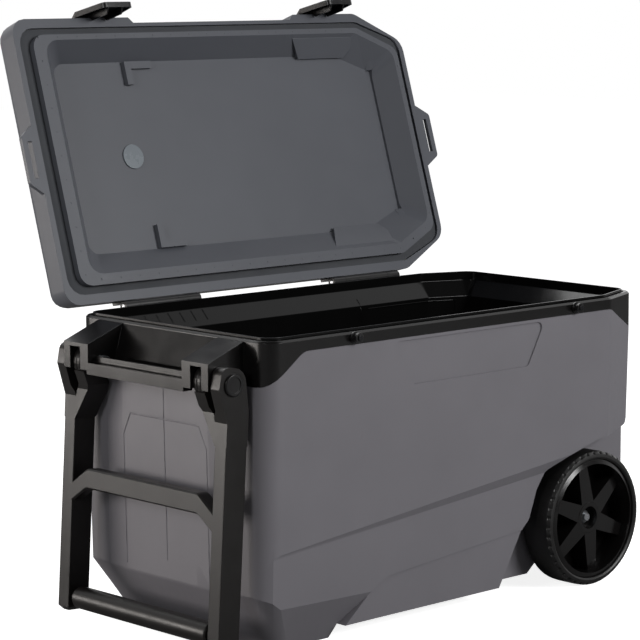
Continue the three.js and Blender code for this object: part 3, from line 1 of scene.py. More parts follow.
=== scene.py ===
# %% [markdown]
# # A wheeled cooler
# The tub stands on two feet and two wheels with its lid thrown back. This lesson dresses the packed
# CAD model: it sets up the camera, the floor and the lamps, mixes the plastics, rounds the moulded
# edges, and adds what repeats or follows a path, such as screws, vent holes, tread notches and the
# fine lines engraved in the mould, with Geometry Nodes.

# %% Load the model
import json
import math

import bmesh
import bpy
from mathutils import Matrix, Vector
from mathutils.bvhtree import BVHTree

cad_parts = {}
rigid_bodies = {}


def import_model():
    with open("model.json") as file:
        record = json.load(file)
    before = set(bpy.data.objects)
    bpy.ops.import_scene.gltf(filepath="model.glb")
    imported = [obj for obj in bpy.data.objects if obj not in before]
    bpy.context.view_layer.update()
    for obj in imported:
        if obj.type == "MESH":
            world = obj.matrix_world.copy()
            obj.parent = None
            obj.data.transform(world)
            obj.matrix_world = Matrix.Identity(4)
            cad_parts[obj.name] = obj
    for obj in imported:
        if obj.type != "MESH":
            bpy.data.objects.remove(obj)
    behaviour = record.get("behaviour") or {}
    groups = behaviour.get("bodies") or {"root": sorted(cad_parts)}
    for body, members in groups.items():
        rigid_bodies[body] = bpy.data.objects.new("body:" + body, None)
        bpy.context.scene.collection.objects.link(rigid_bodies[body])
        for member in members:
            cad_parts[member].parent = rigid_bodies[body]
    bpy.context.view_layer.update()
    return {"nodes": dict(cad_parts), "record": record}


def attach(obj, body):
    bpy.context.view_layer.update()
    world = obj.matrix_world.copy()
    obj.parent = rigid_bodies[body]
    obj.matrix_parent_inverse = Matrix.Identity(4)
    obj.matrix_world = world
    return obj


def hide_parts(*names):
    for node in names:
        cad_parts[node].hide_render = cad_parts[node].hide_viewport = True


MM = 0.001
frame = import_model()

# %% [markdown]
# ## The camera
# The photograph was taken from in front of the tow handle's corner, a little above the rim, with a
# long lens. The place, the turn and the lens below come from the perspective of the rim and the wheel.

# %% Camera
CAMERA_PLACE = (-2.77656, -2.91868, 0.95215)
CAMERA_TURN = 44.62
CAMERA_DROP = 6.66
LENS = 146.41
SENSOR_WIDTH = 36
SHIFT = (-0.154, -0.0731)

camera_data = bpy.data.cameras.new("camera")
camera_data.lens = LENS
camera_data.sensor_width = SENSOR_WIDTH
camera_data.shift_x, camera_data.shift_y = SHIFT
camera = bpy.data.objects.new("camera", camera_data)
camera.location = CAMERA_PLACE
camera.rotation_euler = (math.radians(90 - CAMERA_DROP), 0, math.radians(-CAMERA_TURN))
bpy.context.scene.collection.objects.link(camera)
bpy.context.scene.camera = camera
bpy.context.scene.view_settings.view_transform = "Standard"
print("camera", tuple(round(v, 3) for v in camera.location))

# %% [markdown]
# ## Colours and nodes
# Colours are written the way a paint chip is, as sRGB hex. Blender works with linear light, so one
# function turns them over. Another adds a node, sets its values and joins its inputs.


# %% Colour and node helpers
def linear(code):
    channels = [int(code[i : i + 2], 16) / 255 for i in (1, 3, 5)]
    return tuple(c / 12.92 if c <= 0.04045 else ((c + 0.055) / 1.055) ** 2.4 for c in channels) + (1,)


def add(tree, kind, settings=None, **inputs):
    """Adds a node. Settings are its own properties, and inputs are values or other nodes' outputs."""
    node = tree.nodes.new(kind)
    for name, value in (settings or {}).items():
        setattr(node, name, value)
    for name, value in inputs.items():
        key = int(name[1:]) if name[1:].isdigit() else name.replace("_", " ")
        socket = node.inputs[key]
        if isinstance(value, bpy.types.NodeSocket):
            tree.links.new(value, socket)
        else:
            socket.default_value = value
    return node


print("mid grey in linear light", tuple(round(c, 3) for c in linear("#808080")))

# %% [markdown]
# ## Backdrop and sky
# The studio is a plain white backdrop behind the cooler with dim walls all round. The camera sees
# pure white everywhere. A glossy edge sees the white backdrop on its own side and the dim walls on
# the other, which keeps black plastic black. Everything else gets a soft grey sky.

# %% Sky
SKY_LEVEL = 0.2
DIM_WALL = 0.06
BACKDROP_SIDE = (0.7, 0.7, 0.12)
BACKDROP_EDGE = (0.1, 0.6)

world = bpy.data.worlds.new("studio")
bpy.context.scene.world = world
world.use_nodes = True
sky_tree = world.node_tree
sky_tree.nodes.clear()
path = add(sky_tree, "ShaderNodeLightPath")
seen = add(sky_tree, "ShaderNodeMath", {"operation": "MAXIMUM"},
           _0=path.outputs["Is Glossy Ray"], _1=path.outputs["Is Transmission Ray"])
where = add(sky_tree, "ShaderNodeTexCoord")
side = add(sky_tree, "ShaderNodeVectorMath", {"operation": "DOT_PRODUCT"},
           _0=where.outputs["Generated"], _1=BACKDROP_SIDE)
backdrop = add(sky_tree, "ShaderNodeMapRange", {"interpolation_type": "SMOOTHSTEP"},
               Value=side.outputs["Value"], _1=BACKDROP_EDGE[0], _2=BACKDROP_EDGE[1], _3=DIM_WALL, _4=1.0)
reflected = add(sky_tree, "ShaderNodeMix", {"data_type": "FLOAT"},
                _0=seen.outputs[0], _2=SKY_LEVEL, _3=backdrop.outputs[0])
level = add(sky_tree, "ShaderNodeMix", {"data_type": "FLOAT"},
            _0=path.outputs["Is Camera Ray"], _2=reflected.outputs[0], _3=1.0)
sky = add(sky_tree, "ShaderNodeBackground", Color=linear("#ffffff"), Strength=level.outputs[0])
add(sky_tree, "ShaderNodeOutputWorld", Surface=sky.outputs[0])
print("sky level", SKY_LEVEL)

# %% [markdown]
# ## The floor
# White card. To the camera it also glows a little, which lifts it to the white of the backdrop and
# leaves only the cooler's own soft shadow on it. The cooler sees a duller card, so that little light
# comes up from below.

# %% Floor
FLOOR_Z = -22 * MM
FLOOR_REACH = 12
FLOOR_GLOW = 0.85

floor_mesh = bpy.data.meshes.new("floor")
corners = [(x * FLOOR_REACH, y * FLOOR_REACH, FLOOR_Z) for x, y in ((-1, -1), (1, -1), (1, 1), (-1, 1))]
floor_mesh.from_pydata(corners, [], [(0, 1, 2, 3)])
floor = bpy.data.objects.new("floor", floor_mesh)
bpy.context.scene.collection.objects.link(floor)

card = bpy.data.materials.new("white_card_floor")
card.use_nodes = True
tree = card.node_tree
tree.nodes.clear()
matt = add(tree, "ShaderNodeBsdfDiffuse", Color=linear("#f2f2f2"))
dull = add(tree, "ShaderNodeBsdfDiffuse", Color=linear("#8c8c8c"))
glow = add(tree, "ShaderNodeEmission", Color=linear("#ffffff"), Strength=FLOOR_GLOW)
lit = add(tree, "ShaderNodeAddShader", _0=matt.outputs[0], _1=glow.outputs[0])
path = add(tree, "ShaderNodeLightPath")
pick = add(tree, "ShaderNodeMixShader", _0=path.outputs["Is Camera Ray"],
           _1=dull.outputs[0], _2=lit.outputs[0])
add(tree, "ShaderNodeOutputMaterial", Surface=pick.outputs[0])
floor_mesh.materials.append(card)
print("floor at", FLOOR_Z)

# %% [markdown]
# ## Lamps
# A large soft box stands to the right of the camera and lights the long front. A low one on the left, a
# little behind, lights the end with the tow handle and gives its black plastic a sheen. A weak one on
# the left fills the lid's tray. A long strip high up behind draws a bright line along the rounded top
# edges. It is wide enough that a flat black face which mirrors it turns grey and not white.


# %% Lamps
def lamp(name, place, target, size, watts, code="#ffffff"):
    data = bpy.data.lights.new(name, "AREA")
    data.shape = "RECTANGLE"
    data.size, data.size_y = size
    data.energy = watts
    data.color = linear(code)[:3]
    lamp_object = bpy.data.objects.new(name, data)
    lamp_object.location = place
    aim = Vector(target) - Vector(place)
    lamp_object.rotation_euler = aim.to_track_quat("-Z", "Y").to_euler()
    bpy.context.scene.collection.objects.link(lamp_object)


lamp("front_softbox", place=(1.3, -3.8, 2.0), target=(0.1, 0, 0.25), size=(1.8, 1.6), watts=132)
lamp("left_softbox", place=(-2.8, 1.9, 0.42), target=(-0.4, 0, 0.25), size=(2.2, 0.7), watts=54,
     code="#fdf7f2")
lamp("left_fill", place=(-3.8, -0.9, 1.8), target=(0, 0.2, 0.5), size=(1.0, 1.0), watts=36)
lamp("back_strip", place=(0.5, 1.7, 2.7), target=(0, 0, 0.45), size=(2.6, 0.7), watts=26)
print(len(bpy.data.lights), "lamps")

# %% [markdown]
# ## Plastics
# Nearly everything here is moulded plastic. What tells one from another is its gloss and its grain:
# the tub is matt polyethylene with a fine spark-eroded grain, the rim and liner are glossier black
# polypropylene, and the handle is a coarse-grained nylon. One function mixes them from a colour, a
# grain size in millimetres and a roughness. The real grain is about a fifth of a millimetre, too fine
# to show from here, so it is drawn a few times coarser. The colour drifts over about 20 centimetres and
# the gloss over about 5, as on plastic that has been handled.

# %% Moulded plastic
DRIFT_SCALE = 5.0
SCUFF_SCALE = 22.0
NOISE_SPAN = (0.3, 0.7)


def moulded(name, code, roughness, grain_mm=1.2, grain_depth=0.05, cloud=0.05, gloss_cloud=0.06,
            specular=0.5):
    """Plastic from a mould: a colour that drifts a little, a pebbled grain and uneven gloss."""
    material = bpy.data.materials.new(name)
    material.use_nodes = True
    tree = material.node_tree
    tree.nodes.clear()
    place = add(tree, "ShaderNodeTexCoord").outputs["Object"]
    drift = add(tree, "ShaderNodeTexNoise", Vector=place, Scale=DRIFT_SCALE, Detail=3.0, Roughness=0.6)
    lighter = tuple(min(c * (1 + cloud * 2), 1) for c in linear(code)[:3]) + (1,)
    darker = tuple(c * (1 - cloud * 2) for c in linear(code)[:3]) + (1,)
    colour = add(tree, "ShaderNodeMix", {"data_type": "RGBA"}, _0=drift.outputs[0], _6=darker, _7=lighter)
    pebble = add(tree, "ShaderNodeTexNoise", Vector=place, Scale=1 / (grain_mm * MM), Detail=2.0)
    scuffs = add(tree, "ShaderNodeTexNoise", Vector=place, Scale=SCUFF_SCALE, Detail=4.0, Roughness=0.7)
    gloss = add(tree, "ShaderNodeMapRange", Value=scuffs.outputs[0], _1=NOISE_SPAN[0], _2=NOISE_SPAN[1],
                _3=roughness - gloss_cloud, _4=roughness + gloss_cloud)
    bump = add(tree, "ShaderNodeBump", Strength=1.0, Distance=grain_depth * MM, Height=pebble.outputs[0])
    shader = add(tree, "ShaderNodeBsdfPrincipled", Base_Color=colour.outputs[2], Normal=bump.outputs[0],
                 Roughness=gloss.outputs[0])
    shader.inputs["Specular IOR Level"].default_value = specular
    add(tree, "ShaderNodeOutputMaterial", Surface=shader.outputs[0])
    return material


# %% [markdown]
# The large grey mouldings. Blow-moulded polyethylene is matt and waxy, so light spreads across it
# without a clear reflection. The lid's underside is a smoother mould; its darker grey is painted shade.

# %% Grey polyethylene
tub_polyethylene = moulded("grain_moulded_polyethylene_tub", "#6c6a6f", 0.5, grain_mm=1.6, grain_depth=0.04)
# The lid's grey is darker than the tub's as painted shade: it stands for the shade that the open lid's tray
# sits in.
shade_darkened_lid_polyethylene = moulded("smooth_moulded_polyethylene_lid", "#54565c", 0.4, grain_mm=1.4, grain_depth=0.03,
                           gloss_cloud=0.03, specular=0.3)
plug_polyethylene = moulded("waxy_polyethylene_plug", "#6f767c", 0.28, grain_mm=2.0, grain_depth=0.02)
print(len(bpy.data.materials), "materials so far")

# %% [markdown]
# The black mouldings. Injection-moulded polypropylene has a fine polish that catches a bright line on
# each edge. Glass-filled nylon in the tow handle and latches is duller and a little brown. The tyre is
# blow-moulded and dull, with a coarse skin.

# %% Black plastics
rim_polypropylene = moulded("polished_polypropylene_rim", "#0c0b0b", 0.22, grain_mm=1.0, grain_depth=0.01,
                            gloss_cloud=0.03)
liner_polypropylene = moulded("polished_polypropylene_liner", "#090909", 0.15, grain_mm=1.8,
                              grain_depth=0.01, gloss_cloud=0.03, specular=0.22)
hub_polypropylene = moulded("polished_polypropylene_hub", "#0d0c0c", 0.2, grain_mm=1.1, grain_depth=0.01,
                            gloss_cloud=0.03)
handle_nylon = moulded("grained_nylon_handle", "#141211", 0.38, grain_mm=0.9, grain_depth=0.04, specular=0.4)
latch_nylon = moulded("grained_nylon_latch", "#0e0d0e", 0.32, grain_mm=0.9, grain_depth=0.04)
tyre_plastic = moulded("blow_moulded_tyre", "#0d0c0c", 0.42, grain_mm=1.4, grain_depth=0.08)

# %% [markdown]
# Two foams. The gasket and the seals are foamed rubber, which is soft, grey and has no gloss. The walls
# are filled with polyurethane foam, which is pale straw, rough and dull, and stays hidden.

# %% Foams
seal_rubber = moulded("foamed_rubber_seal", "#3c3e42", 0.7, grain_mm=0.8, grain_depth=0.08, specular=0.3)
foam_cells = moulded("sprayed_polyurethane_foam", "#e6dcb4", 0.9, grain_mm=1.5, grain_depth=0.4, specular=0.2)
print(len(bpy.data.materials), "materials so far")

# %% [markdown]
# Steel parts are small: the axle, the push nuts, pins and screws. Bright zinc plating gives them a soft
# mirror, and the black-oxide bolts in the keepers keep only a dull gleam. Fine marks, about a
# millimetre long, make the gloss uneven.

# %% Steel
MARK_SCALE = 900.0
MARK_DEPTH = 0.01 * MM
MARK_GLOSS = (-0.08, 0.1)


def plated_steel(name, code, roughness):
    material = bpy.data.materials.new(name)
    material.use_nodes = True
    tree = material.node_tree
    tree.nodes.clear()
    place = add(tree, "ShaderNodeTexCoord").outputs["Object"]
    marks = add(tree, "ShaderNodeTexNoise", Vector=place, Scale=MARK_SCALE, Detail=2.0)
    gloss = add(tree, "ShaderNodeMapRange", Value=marks.outputs[0], _1=NOISE_SPAN[0], _2=NOISE_SPAN[1],
                _3=roughness + MARK_GLOSS[0], _4=roughness + MARK_GLOSS[1])
    bump = add(tree, "ShaderNodeBump", Strength=1.0, Distance=MARK_DEPTH, Height=marks.outputs[0])
    shader = add(tree, "ShaderNodeBsdfPrincipled", Base_Color=linear(code), Metallic=1.0,
                 Normal=bump.outputs[0], Roughness=gloss.outputs[0])
    add(tree, "ShaderNodeOutputMaterial", Surface=shader.outputs[0])
    return material


zinc_steel = plated_steel("zinc_plated_steel", "#b9bcc0", 0.3)
black_steel = plated_steel("black_oxide_steel", "#3a3a3c", 0.32)
print("zinc and black oxide ready")

# %% [markdown]
# ## Working on the CAD solids
# The solids come as loose triangles, so a copy is merged and its flat faces are joined up. The copy
# stands in for the solid, which stays in the physics model. A ray tells where its surface lies, so
# that a line can be laid along it.

# %% Copies and rays
MERGE = 0.01 * MM
FLAT_ANGLE = 0.4

body_of = {node: body for body, nodes in frame["record"]["behaviour"]["bodies"].items() for node in nodes}


def merged_copy(node):
    """The CAD solid as one closed mesh, with its coplanar triangles joined."""
    mesh = bmesh.new()
    mesh.from_mesh(frame["nodes"][node].data)
    bmesh.ops.remove_doubles(mesh, verts=mesh.verts, dist=MERGE)
    bmesh.ops.dissolve_limit(mesh, angle_limit=math.radians(FLAT_ANGLE), verts=mesh.verts, edges=mesh.edges)
    return mesh


def new_piece(name, mesh, material=None):
    """A mesh object at the origin, made from a bmesh."""
    data = bpy.data.meshes.new(name)
    mesh.to_mesh(data)
    mesh.free()
    piece = bpy.data.objects.new(name, data)
    bpy.context.scene.collection.objects.link(piece)
    if material:
        data.materials.append(material)
    return piece


def surface_of(node):
    mesh = merged_copy(node)
    tree = BVHTree.FromBMesh(mesh)
    mesh.free()
    return tree


def laid_on(surface, points_mm, direction):
    """The places where rays in that direction meet the surface, in metres."""
    places = []
    for point in points_mm:
        hit = surface.ray_cast(Vector(point) * MM, Vector(direction))[0]
        if hit:
            places.append(hit)
    return places


# %% [markdown]
# ## Rounded edges
# A moulded edge is never knife sharp: the light runs along it. A bevel rounds every corner, and cutters
# take their grooves and holes out. Edges that are still steep, such as a groove's, are marked sharp, and
# weighted normals then keep flat faces flat to the light. The broadest faces get their own plain normal.
# One face that carries a whole pattern of grooves would still shade in streaks. The tub's end wall is
# therefore sliced into a grid of smaller faces before it is cut.

# %% Rounding and cutting
BEVEL_ANGLE = 28
SHARP_ANGLE = 50
FLAT_BREADTH = 12 * MM
SLICE_STEP = 42
SLICES_ACROSS = range(-150, 151, SLICE_STEP)
SLICES_UP = range(60, 361, SLICE_STEP)


def bake_modifiers(piece):
    """Turns the piece's live modifiers into a plain mesh."""
    bpy.context.view_layer.update()
    shaped = piece.evaluated_get(bpy.context.evaluated_depsgraph_get())
    data = bpy.data.meshes.new_from_object(shaped)
    piece.modifiers.clear()
    piece.data = data
    return piece


def flatten_broad_faces(piece):
    """Gives every broad flat face one shade, whatever its rim does.

    A long strip's area is its breadth times half its perimeter, so the two tell how broad a face is.
    """
    mesh = piece.data
    normals = [corner.vector.copy() for corner in mesh.corner_normals]
    shape = bmesh.new()
    shape.from_mesh(mesh)
    broad = set()
    for face in shape.faces:
        if 2 * face.calc_area() > FLAT_BREADTH * face.calc_perimeter():
            broad.add(face.index)
    shape.free()
    for face in mesh.polygons:
        if face.index in broad:
            for corner in face.loop_indices:
                normals[corner] = face.normal.copy()
    mesh.normals_split_custom_set(normals)


def sliced(piece, reach_x):
    """Cuts the faces beyond reach_x along upright and level planes, so that none carries a whole pattern."""
    mesh = bmesh.new()
    mesh.from_mesh(piece.data)
    for axis, places in ((1, SLICES_ACROSS), (2, SLICES_UP)):
        for place in places:
            point, normal = Vector(), Vector()
            point[axis] = place * MM
            normal[axis] = 1
            faces = [face for face in mesh.faces if face.calc_center_median().x < reach_x]
            edges = {edge for face in faces for edge in face.edges}
            corners = {corner for face in faces for corner in face.verts}
            bmesh.ops.bisect_plane(mesh, geom=[*faces, *edges, *corners], plane_co=point, plane_no=normal)
    mesh.to_mesh(piece.data)
    mesh.free()


def rounded(piece, width_mm, segments=2, cutters=(), slice_x=None):
    """Rounds the edges, then takes the cutters out of the piece and sets its normals."""
    for polygon in piece.data.polygons:
        polygon.use_smooth = True
    bevel = piece.modifiers.new("edges", "BEVEL")
    bevel.width = width_mm * MM
    bevel.segments = segments
    bevel.limit_method = "ANGLE"
    bevel.angle_limit = math.radians(BEVEL_ANGLE)
    bevel.use_clamp_overlap = True
    bevel.miter_outer = "MITER_ARC"
    bake_modifiers(piece)
    if slice_x is not None:
        sliced(piece, slice_x)
    for cutter in cutters:
        cut = piece.modifiers.new("cut", "BOOLEAN")
        cut.operation = "DIFFERENCE"
        cut.solver = "EXACT"
        cut.object = cutter
    bake_modifiers(piece)
    piece.data.set_sharp_from_angle(angle=math.radians(SHARP_ANGLE))
    normals = piece.modifiers.new("normals", "WEIGHTED_NORMAL")
    normals.keep_sharp = True
    bake_modifiers(piece)
    flatten_broad_faces(piece)
    for cutter in cutters:
        bpy.data.objects.remove(cutter)
    return piece


def dress(node, material, width_mm, segments=2, cutters=(), slice_x=None):
    """The rounded piece that is seen in place of a CAD solid, on the solid's body."""
    copy = new_piece(node + "_moulded", merged_copy(node), material)
    piece = rounded(copy, width_mm, segments, cutters, slice_x)
    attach(piece, body_of[node])
    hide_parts(node)
    return piece


# %% [markdown]
# ## Geometry Nodes
# What repeats or follows a path is grown by a node tree built here. Each tree has named inputs for its
# sizes, and ends by turning its instances into real faces and giving them a material.


# %% Start and end of a tree
def new_tree(name, inputs):
    """A Geometry Nodes tree with a mesh input and the named inputs, each given as its socket type."""
    tree = bpy.data.node_groups.new(name, "GeometryNodeTree")
    tree.interface.new_socket("Geometry", in_out="OUTPUT", socket_type="NodeSocketGeometry")
    tree.interface.new_socket("Geometry", in_out="INPUT", socket_type="NodeSocketGeometry")
    for label, kind in inputs.items():
        tree.interface.new_socket(label, in_out="INPUT", socket_type="NodeSocket" + kind)
    tree.interface.new_socket("Material", in_out="INPUT", socket_type="NodeSocketMaterial")
    return tree, add(tree, "NodeGroupInput").outputs


def close_tree(tree, geometry, material):
    real = add(tree, "GeometryNodeRealizeInstances", Geometry=geometry)
    painted = add(tree, "GeometryNodeSetMaterial", Geometry=real.outputs[0], Material=material)
    add(tree, "NodeGroupOutput", Geometry=painted.outputs[0])


def grow(name, tree, values, paths=(), closed=False):
    """Runs a tree on an object made of the given paths, and keeps the result as a plain mesh."""
    mesh = bmesh.new()
    for path in paths:
        points = [mesh.verts.new(place) for place in path]
        following = points[1:] + (points[:1] if closed else [])
        for first, second in zip(points, following):
            mesh.edges.new((first, second))
    piece = new_piece(name, mesh)
    modifier = piece.modifiers.new("grow", "NODES")
    modifier.node_group = tree
    for item in tree.interface.items_tree:
        if item.in_out == "INPUT" and item.name in values:
            modifier[item.identifier] = values[item.name]
    return bake_modifiers(piece)


print("tree helpers ready")

# %% [markdown]
# A line engraved in the mould, or a bead raised in it, is a thin tube laid along a path: as a cutter
# it leaves a round groove, and half sunk in a wall it is a bead.

# %% Tree: tube along a path
TUBE_SIDES = 8

tube_tree, sizes = new_tree("tube_along_path", {"Radius": "Float", "Sides": "Int"})
curve = add(tube_tree, "GeometryNodeMeshToCurve", Mesh=sizes["Geometry"])
section = add(tube_tree, "GeometryNodeCurvePrimitiveCircle", Resolution=sizes["Sides"],
              Radius=sizes["Radius"])
tube = add(tube_tree, "GeometryNodeCurveToMesh", Curve=curve.outputs[0], Profile_Curve=section.outputs[0],
           Fill_Caps=True)
close_tree(tube_tree, tube.outputs[0], sizes["Material"])


def tube_along(name, paths, radius_mm, material=None):
    values = {"Radius": radius_mm * MM, "Sides": TUBE_SIDES, "Material": material}
    return grow(name, tube_tree, values, paths)


print("tube tree has", len(tube_tree.nodes), "nodes")

# %% [markdown]
# Small round holes at an even pitch along a path: the vents in the ridge round the lid's tray. The tree
# makes the pegs that are cut out, so that the pitch and the size of all holes are each one number.

# %% Tree: holes along a path
PEG_SIDES = 10

hole_tree, sizes = new_tree("holes_along_path", {"Pitch": "Float", "Radius": "Float", "Depth": "Float"})
curve = add(hole_tree, "GeometryNodeMeshToCurve", Mesh=sizes["Geometry"])
spaced = add(hole_tree, "GeometryNodeResampleCurve", {"mode": "LENGTH"}, Curve=curve.outputs[0],
             Length=sizes["Pitch"])
peg = add(hole_tree, "GeometryNodeMeshCylinder", Vertices=PEG_SIDES, Radius=sizes["Radius"],
          Depth=sizes["Depth"])
pegs = add(hole_tree, "GeometryNodeInstanceOnPoints", Points=spaced.outputs[0], Instance=peg.outputs[0])
close_tree(hole_tree, pegs.outputs[0], sizes["Material"])
print("hole tree has", len(hole_tree.nodes), "nodes")

# %% [markdown]
# Bars set round a circle in the plane of the wheel, each turned to face the axle. As cutters they
# leave the notches in the tyre's shoulders.

# %% Tree: bars round a circle
ring_tree, sizes = new_tree(
    "bars_round_circle", {"Count": "Int", "Radius": "Float", "Bar": "Vector", "Centre": "Vector"}
)
circle = add(ring_tree, "GeometryNodeMeshCircle", Vertices=sizes["Count"], Radius=sizes["Radius"])
upright = add(ring_tree, "GeometryNodeTransform", Geometry=circle.outputs[0], Rotation=(math.pi / 2, 0, 0))
outwards = add(ring_tree, "GeometryNodeInputPosition")
turned = add(ring_tree, "FunctionNodeAlignRotationToVector", {"axis": "Z", "pivot_axis": "Y"},
             Vector=outwards.outputs[0])
bar = add(ring_tree, "GeometryNodeMeshCube", Size=sizes["Bar"])
bars = add(ring_tree, "GeometryNodeInstanceOnPoints", Points=upright.outputs[0], Instance=bar.outputs[0],
           Rotation=turned.outputs[0])
placed = add(ring_tree, "GeometryNodeTransform", Geometry=bars.outputs[0], Translation=sizes["Centre"])
close_tree(ring_tree, placed.outputs[0], sizes["Material"])
print("ring tree has", len(ring_tree.nodes), "nodes")

# %% [markdown]
# A row of cross-recessed screws. The head is a short cylinder with two crossed bars cut out of it,
# copied along a line. The bars' length and width are shares of the head's radius, and their rise is a
# share of its height.

# %% Tree: row of screws
HEAD_SIDES = 24
BAR_LENGTH = 1.2
BAR_WIDTH = 0.26
BAR_RISE = 0.7

screw_inputs = {"Count": "Int", "Start": "Vector", "Step": "Vector", "Turn": "Vector"}
screw_inputs |= {"Head radius": "Float", "Head height": "Float"}
screw_tree, sizes = new_tree("row_of_screws", screw_inputs)
head = add(screw_tree, "GeometryNodeMeshCylinder", Vertices=HEAD_SIDES, Radius=sizes["Head radius"],
           Depth=sizes["Head height"])
arm = add(screw_tree, "ShaderNodeMath", {"operation": "MULTIPLY"}, _0=sizes["Head radius"], _1=BAR_LENGTH)
slit = add(screw_tree, "ShaderNodeMath", {"operation": "MULTIPLY"}, _0=sizes["Head radius"], _1=BAR_WIDTH)
upwards = add(screw_tree, "ShaderNodeCombineXYZ", Z=sizes["Head height"])
first_bar = add(screw_tree, "ShaderNodeCombineXYZ", X=arm.outputs[0], Y=slit.outputs[0],
                Z=sizes["Head height"])
second_bar = add(screw_tree, "ShaderNodeCombineXYZ", X=slit.outputs[0], Y=arm.outputs[0],
                 Z=sizes["Head height"])
rise = add(screw_tree, "ShaderNodeVectorMath", {"operation": "SCALE"}, _0=upwards.outputs[0], Scale=BAR_RISE)
recessed = add(screw_tree, "GeometryNodeMeshBoolean", {"operation": "DIFFERENCE", "solver": "EXACT"},
               _0=head.outputs[0])
for size in (first_bar, second_bar):
    block = add(screw_tree, "GeometryNodeMeshCube", Size=size.outputs[0])
    raised = add(screw_tree, "GeometryNodeTransform", Geometry=block.outputs[0], Translation=rise.outputs[0])
    screw_tree.links.new(raised.outputs[0], recessed.inputs[1])
line = add(screw_tree, "GeometryNodeMeshLine", Count=sizes["Count"], Start_Location=sizes["Start"],
           Offset=sizes["Step"])
screws = add(screw_tree, "GeometryNodeInstanceOnPoints", Points=line.outputs[0], Instance=recessed.outputs[0],
             Rotation=sizes["Turn"])
close_tree(screw_tree, screws.outputs[0], sizes["Material"])
print("screw tree has", len(screw_tree.nodes), "nodes")

# %% [markdown]
# ## Lines engraved in the tub's end
# The end wall behind the tow handle carries the outline of a rounded panel and an upright line down
# its middle, both cut into the mould as fine grooves. They could be painted on, but a real groove keeps
# its shadow from every side. Rays find the wall along each line, and the tubes laid there are cut out.

# %% End wall grooves
PANEL_HALF = 95
PANEL_FOOT_Z = 74
PANEL_SHOULDER_Z = 269
PANEL_TOP_HALF = 78
PANEL_TOP_Z = 302
SEAM_Z = (357, 92)
GROOVE_RADIUS = 1.2
RAY_STEP = 8
RAY_FROM_X = -600
END_WALL_X = -380 * MM


def stepped(corners):
    """Points every few millimetres along a line of corners."""
    points = []
    for start, end in zip(corners, corners[1:]):
        start, end = Vector(start), Vector(end)
        steps = max(1, round((end - start).length / RAY_STEP))
        points += [start.lerp(end, i / steps) for i in range(steps)]
    return points + [Vector(corners[-1])]


tub_surface = surface_of("body_shell")
half_outline = [(PANEL_HALF, PANEL_FOOT_Z), (PANEL_HALF, PANEL_SHOULDER_Z), (PANEL_TOP_HALF, PANEL_TOP_Z)]
outline = half_outline + [(-y, z) for y, z in reversed(half_outline)]
panel_line = [(RAY_FROM_X, y, z) for y, z in outline]
seam_line = [(RAY_FROM_X, 0, z) for z in SEAM_Z]
panel_path = laid_on(tub_surface, stepped(panel_line), (1, 0, 0))
seam_path = laid_on(tub_surface, stepped(seam_line), (1, 0, 0))
panel_groove = tube_along("panel_groove", [panel_path], GROOVE_RADIUS)
seam_groove = tube_along("seam_groove", [seam_path], GROOVE_RADIUS)
tub = dress("body_shell", tub_polyethylene, 1.2, cutters=(panel_groove, seam_groove), slice_x=END_WALL_X)
print("tub", len(tub.data.polygons), "faces")

# %% [markdown]
# ## Beads in the liner
# Just under the rim the liner's back wall has a row of short upright beads, and further along a bent
# one that marks the shelf for a basket. They are half-sunk tubes that follow the wall, because a ray finds
# the wall at every few millimetres of their path.

# %% Liner and its beads
BEAD_XS = range(-288, -171, 23)
BEAD_Z = (422, 408)
SHELF_X = 149
SHELF_Z = (410, 368)
SHELF_BAR = (165, 348)
SHELF_BAR_Z = 394
BEAD_RADIUS = 0.9

liner_surface = surface_of("body_liner")
beads = [stepped([(x, 0, z) for z in BEAD_Z]) for x in BEAD_XS]
beads.append(stepped([(SHELF_X, 0, z) for z in SHELF_Z]))
beads.append(stepped([(x, 0, SHELF_BAR_Z) for x in SHELF_BAR]))
bead_paths = [laid_on(liner_surface, bead, (0, 1, 0)) for bead in beads]
liner_beads = tube_along("liner_beads", bead_paths, BEAD_RADIUS, liner_polypropylene)
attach(liner_beads, "tub")
liner = dress("body_liner", liner_polypropylene, 0.8)
print("liner", len(liner.data.polygons), "faces, beads", len(liner_beads.data.polygons))

# %% [markdown]
# ## The lid's tray
# The ridge round the tray is pierced by small vents, so that no air is trapped as the plastic fills
# the mould. The lid is easiest to measure shut, so the path is written for the shut lid and turned
# open about the hinge pins.

# %% Tray and vents
HINGE_Y = 235
HINGE_Z = 436
LID_OPEN_DEG = 107.3
VENT_Z = 430
VENT_PITCH = 38
VENT_RADIUS = 1.5
VENT_DEPTH = 3
VENT_LINE = [(-368, -194.5), (303, -194.5), (386, -157), (386, 152), (303, 190.5), (-368, 190.5)]

hinge_line = Matrix.Translation((0, HINGE_Y * MM, HINGE_Z * MM))
opened = hinge_line @ Matrix.Rotation(math.radians(-LID_OPEN_DEG), 4, "X") @ hinge_line.inverted()
vent_path = [Vector((x, y, VENT_Z)) * MM for x, y in VENT_LINE]
vent_sizes = {"Pitch": VENT_PITCH * MM, "Radius": VENT_RADIUS * MM, "Depth": VENT_DEPTH * MM}
vents = grow("vents", hole_tree, vent_sizes, [vent_path], closed=True)
vents.data.transform(opened)
tray = dress("lid_tray", shade_darkened_lid_polyethylene, 1.0, cutters=(vents,))
shell = dress("lid_shell", shade_darkened_lid_polyethylene, 1.0)
dress("lid_plug", plug_polyethylene, 0.6, segments=3)
print("tray", len(tray.data.polygons), "faces, lid", len(shell.data.polygons))

# %% [markdown]
# The trough at the wheel end of the tray runs out into the sloped corners. In the CAD solid its two ends
# run through the moulding's skin and leave a small opening each, which is a fault of that solid: the real
# moulding is closed there. A small block, which the solids don't have, fills each opening for the eye.

# %% Ends of the trough
TROUGH_X = (339, 351)
TROUGH_TOP_Z = 468
TROUGH_ENDS = [
    [(-145, 453.4, 449), (-131, 464, 459)],
    [(131, 454.3, 450.6), (117, 464, 459.4)],
]

